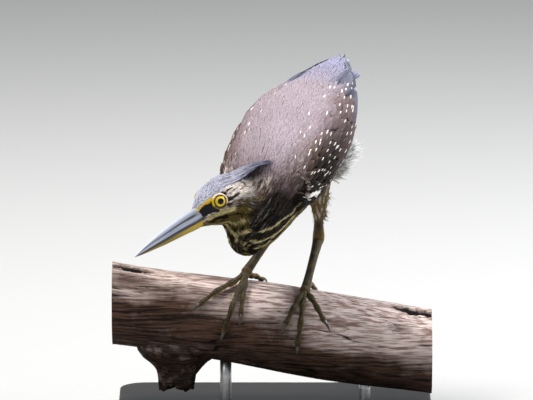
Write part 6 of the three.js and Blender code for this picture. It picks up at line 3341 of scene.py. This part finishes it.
    def claw(self, toe: Toe) -> bpy.types.Object:
        """A curved claw that goes on from the toe and turns down to the bark.

        Args:
            toe: the toe.

        Returns:
            The piece.
        """
        line = self.toe_line(toe)
        tip, ahead = line[-1], unit(line[-1] - line[-2])
        x, angle = np.array(toe.x), np.array(toe.angle)
        out = unit(BRANCH.point(x, angle, 10.0) - BRANCH.point(x, angle))
        away = unit(ahead - (ahead @ out) * out)
        reach = 7.5
        t = np.linspace(0, 1, 6)
        hook = 0.9 * np.sin(np.pi * t * 0.8) - 1.5 * t * t
        curl = (reach * t / BRANCH.radius) ** 2 * BRANCH.radius * 0.5
        course = tip + away * (0.2 + reach * t)[:, None] + out * (hook - curl + 0.6)[:, None]
        taper = Profile((0, 1.3), (0.4, 0.95), (0.8, 0.5), (1, 0.26))
        surface = tube(Path(course), lambda t: (taper(t), taper(t) * 1.15), self.ACROSS, 26, 16, dome=3)
        turn, along = surface.maps["Along"].T
        light = 0.5 - 0.35 * along + 0.3 * smoothstep(0.2, -0.6, np.sin(turn * 2 * np.pi))
        surface.tint = stacked(np.clip(light, 0, 1), 1.0, 1.0, 1.0)
        name = f"{self.side.label}_{toe.name}"
        return add_piece(surface, f"hooked_claw_{name}", self.horn, Slot.CLAW, f"claw_{name}")

    def build(self) -> None:
        """Makes every piece of the leg."""
        self.shank()
        self.pad()
        for toe in TOES[self.side]:
            self.toe(toe)
            self.claw(toe)


# ---------------------------------------------------------------- stand
@dataclass(frozen=True)
class Stand:
    """The display stand: a flat lacquered base and two short steel rods up to the branch.

    Attributes:
        width: of the plate along the branch.
        depth: of the plate.
        height: of the plate.
        corner: radius of its corners.
        chamfer: radius of its rounded edges.
        rod_radius: of the rods.
        rods: their places along the branch.
    """

    width: float = 216.0
    depth: float = 136.0
    height: float = 12.0
    corner: float = 18.0
    chamfer: float = 1.5
    rod_radius: float = 4.0
    rods: tuple[float, float] = (-34.0, 62.0)

    POINTS: ClassVar[int] = 256  # round the plate

    def outline(self, inset: float) -> Array:
        """A rectangle with round corners, drawn in by an inset, as points at even turns of its outline.

        Args:
            inset: how far it's drawn in.

        Returns:
            (n, 2) places.
        """
        w, d, r = self.width / 2 - inset, self.depth / 2 - inset, self.corner
        middles = np.array([(w - r, d - r), (r - w, d - r), (r - w, r - d), (w - r, r - d)])
        straight = 8
        arcs = []
        for quarter, middle in enumerate(middles):
            turn = np.radians(np.linspace(0, 90, self.POINTS // 4 - straight) + 90 * quarter)
            arcs.append(middle + r * stacked(np.cos(turn), np.sin(turn)))
            start, end = arcs[-1][-1], math.radians(90 * (quarter + 1))
            stop = middles[(quarter + 1) % 4] + r * np.array([math.cos(end), math.sin(end)])
            arcs.append(start + (stop - start) * np.linspace(0, 1, straight + 2)[1:-1, None])
        return np.vstack(arcs)

    def base(self) -> Surface:
        """The plate: its outline carried up through the chamfers and drawn in to both faces' middles.

        Returns:
            The surface.
        """
        c, h = self.chamfer, self.height
        bow = np.radians(np.linspace(0, 90, 6))
        rise = [(40, 0), (20, 0), (8, 0), (c + 0.6, 0)]
        rise += [(c - c * math.sin(b), c - c * math.cos(b)) for b in bow]
        fall = [(i, h - z) for i, z in reversed(rise)]
        steps = rise + [(0, h * 0.33), (0, h * 0.66)] + fall
        rings = np.stack([stacked(*self.outline(i).T, z - PERCH_HEIGHT) for i, z in steps])
        surface = Surface.lofted(rings, np.array([0, 0, -PERCH_HEIGHT]), np.array([0, 0, h - PERCH_HEIGHT]))
        wear = np.array([max(0.0, 1 - abs(i - c * 0.3) / 2.2) for i, _ in steps])
        worn = np.concatenate([np.repeat(wear, self.POINTS), [0.0, 0.0]])
        surface.tint = stacked(worn, 1.0, 1.0, 1.0)
        return surface

    def rod(self, x: float) -> Surface:
        """A round rod from the plate into the log's underside.

        Args:
            x: place along the branch.

        Returns:
            The surface.
        """
        low, high = self.height - PERCH_HEIGHT - 1.0, BRANCH.slope * x - BRANCH.radius + 6.0
        turn = turns(48)
        level = np.array([low, low + 1.0, 0.5 * (low + high), high])[:, None]
        rings = stacked(x + self.rod_radius * np.cos(turn), self.rod_radius * np.sin(turn), level)
        return Surface.lofted(rings, np.array([x, 0, low]), np.array([x, 0, high]))

    def build(self) -> None:
        """Makes the plate and the rods."""
        add_piece(self.base(), "stand_plate", LacquerFinish().material(), Slot.BASE, "stand_base")
        steel = SteelFinish().material()
        for x in self.rods:
            name = "left" if x < 0 else "right"
            add_piece(self.rod(x), f"stand_steel_{name}", steel, Slot.ROD, f"stand_rod_{name}")


# ---------------------------------------------------------------- studio
@dataclass(frozen=True)
class Studio:
    """A pale floor, soft lights and a camera level with the viewer's eye, looking slightly down.

    Attributes:
        distance: of the camera from the middle of the view, in metres.
        elevation: its angle above the horizon in degrees.
        span: width of the view at the bird, in metres.
        centre: the middle of the view, in metres.
    """

    distance: float = 5.0
    elevation: float = 10.0
    span: float = 0.3675862069
    centre: tuple[float, float, float] = (-0.00586, 0.01527, 0.15060)

    def camera(self) -> None:
        """A long lens along +Y, tipped down by the elevation."""
        tip = math.radians(self.elevation)
        data = bpy.data.cameras.new("camera")
        data.sensor_width = 36.0
        data.lens = data.sensor_width * self.distance / self.span
        data.clip_end = 100.0
        made = bpy.data.objects.new("camera", data)
        x, y, z = self.centre
        made.location = (x, y - self.distance * math.cos(tip), z + self.distance * math.sin(tip))
        made.rotation_euler = (math.radians(90 - self.elevation), 0.0, 0.0)
        bpy.context.scene.collection.objects.link(made)
        bpy.context.scene.camera = made

    def floor(self) -> None:
        """A wide pale matt floor."""
        half = 8.0
        corners = [(x * half, y * half, 0.0) for x, y in ((-1, -1), (1, -1), (1, 1), (-1, 1))]
        mesh = bpy.data.meshes.new("floor")
        mesh.from_pydata(corners, [], [(0, 1, 2, 3)])
        made = bpy.data.objects.new("floor", mesh)
        bpy.context.scene.collection.objects.link(made)
        mesh.materials.append(Paint("floor_pale").feed(Base_Color=(0.5, 0.5, 0.49), Roughness=0.9))

    def light(
        self, name: str, place: tuple[float, float, float], size: float, power: float, tone: tuple
    ) -> None:
        """A square soft light aimed at the bird.

        Args:
            name: its name.
            place: in metres.
            size: of its side in metres.
            power: in watts.
            tone: its colour.
        """
        data = bpy.data.lights.new(name, "AREA")
        data.size, data.energy, data.color = size, power, tone
        made = bpy.data.objects.new(name, data)
        made.location = place
        aim = np.array(self.centre) - np.array(place)
        made.rotation_euler = (
            math.acos(-aim[2] / np.linalg.norm(aim)), 0.0, math.atan2(aim[1], aim[0]) - math.pi / 2
        )
        bpy.context.scene.collection.objects.link(made)

    def build(self) -> None:
        """Camera, floor, lights and the pale surroundings."""
        self.camera()
        self.floor()
        self.light("key", (-0.55, 0.15, 1.9), 0.7, 46.0, (1.0, 0.98, 0.95))
        self.light("back", (1.35, 0.5, 1.2), 0.8, 34.0, (0.93, 0.96, 1.0))
        self.light("fill", (-1.5, -1.9, 1.5), 0.9, 9.0, (0.96, 0.98, 1.0))
        world = bpy.data.worlds.new("surroundings")
        bpy.context.scene.world = world
        world.use_nodes = True
        sky = world.node_tree.nodes["Background"].inputs
        sky[0].default_value, sky[1].default_value = (0.9, 0.94, 1.0, 1.0), 0.32
        bpy.context.scene.view_settings.view_transform = "Standard"


def main() -> None:
    """Builds the studio, the stand, the branch and the bird."""
    logging.basicConfig(level=logging.INFO, format="%(message)s")
    Studio().build()
    Stand().build()
    BRANCH.build()
    bird = BirdForm()
    markings = Markings(bird)
    skin = Skin(bird, markings)
    skin.build()
    Coat(bird, skin, markings).build()
    for side in Side:
        FoldedWing(side, bird, markings).build()
        Down(side, bird).build()
        Eye(side, bird).build()
        Lores(side, bird).build()
        Leg(side).build()
    Crest(bird).build()
    tail = Tail()
    tail.build()
    tail.coverts()
    Bill().build()


if __name__ == "__main__":
    main()
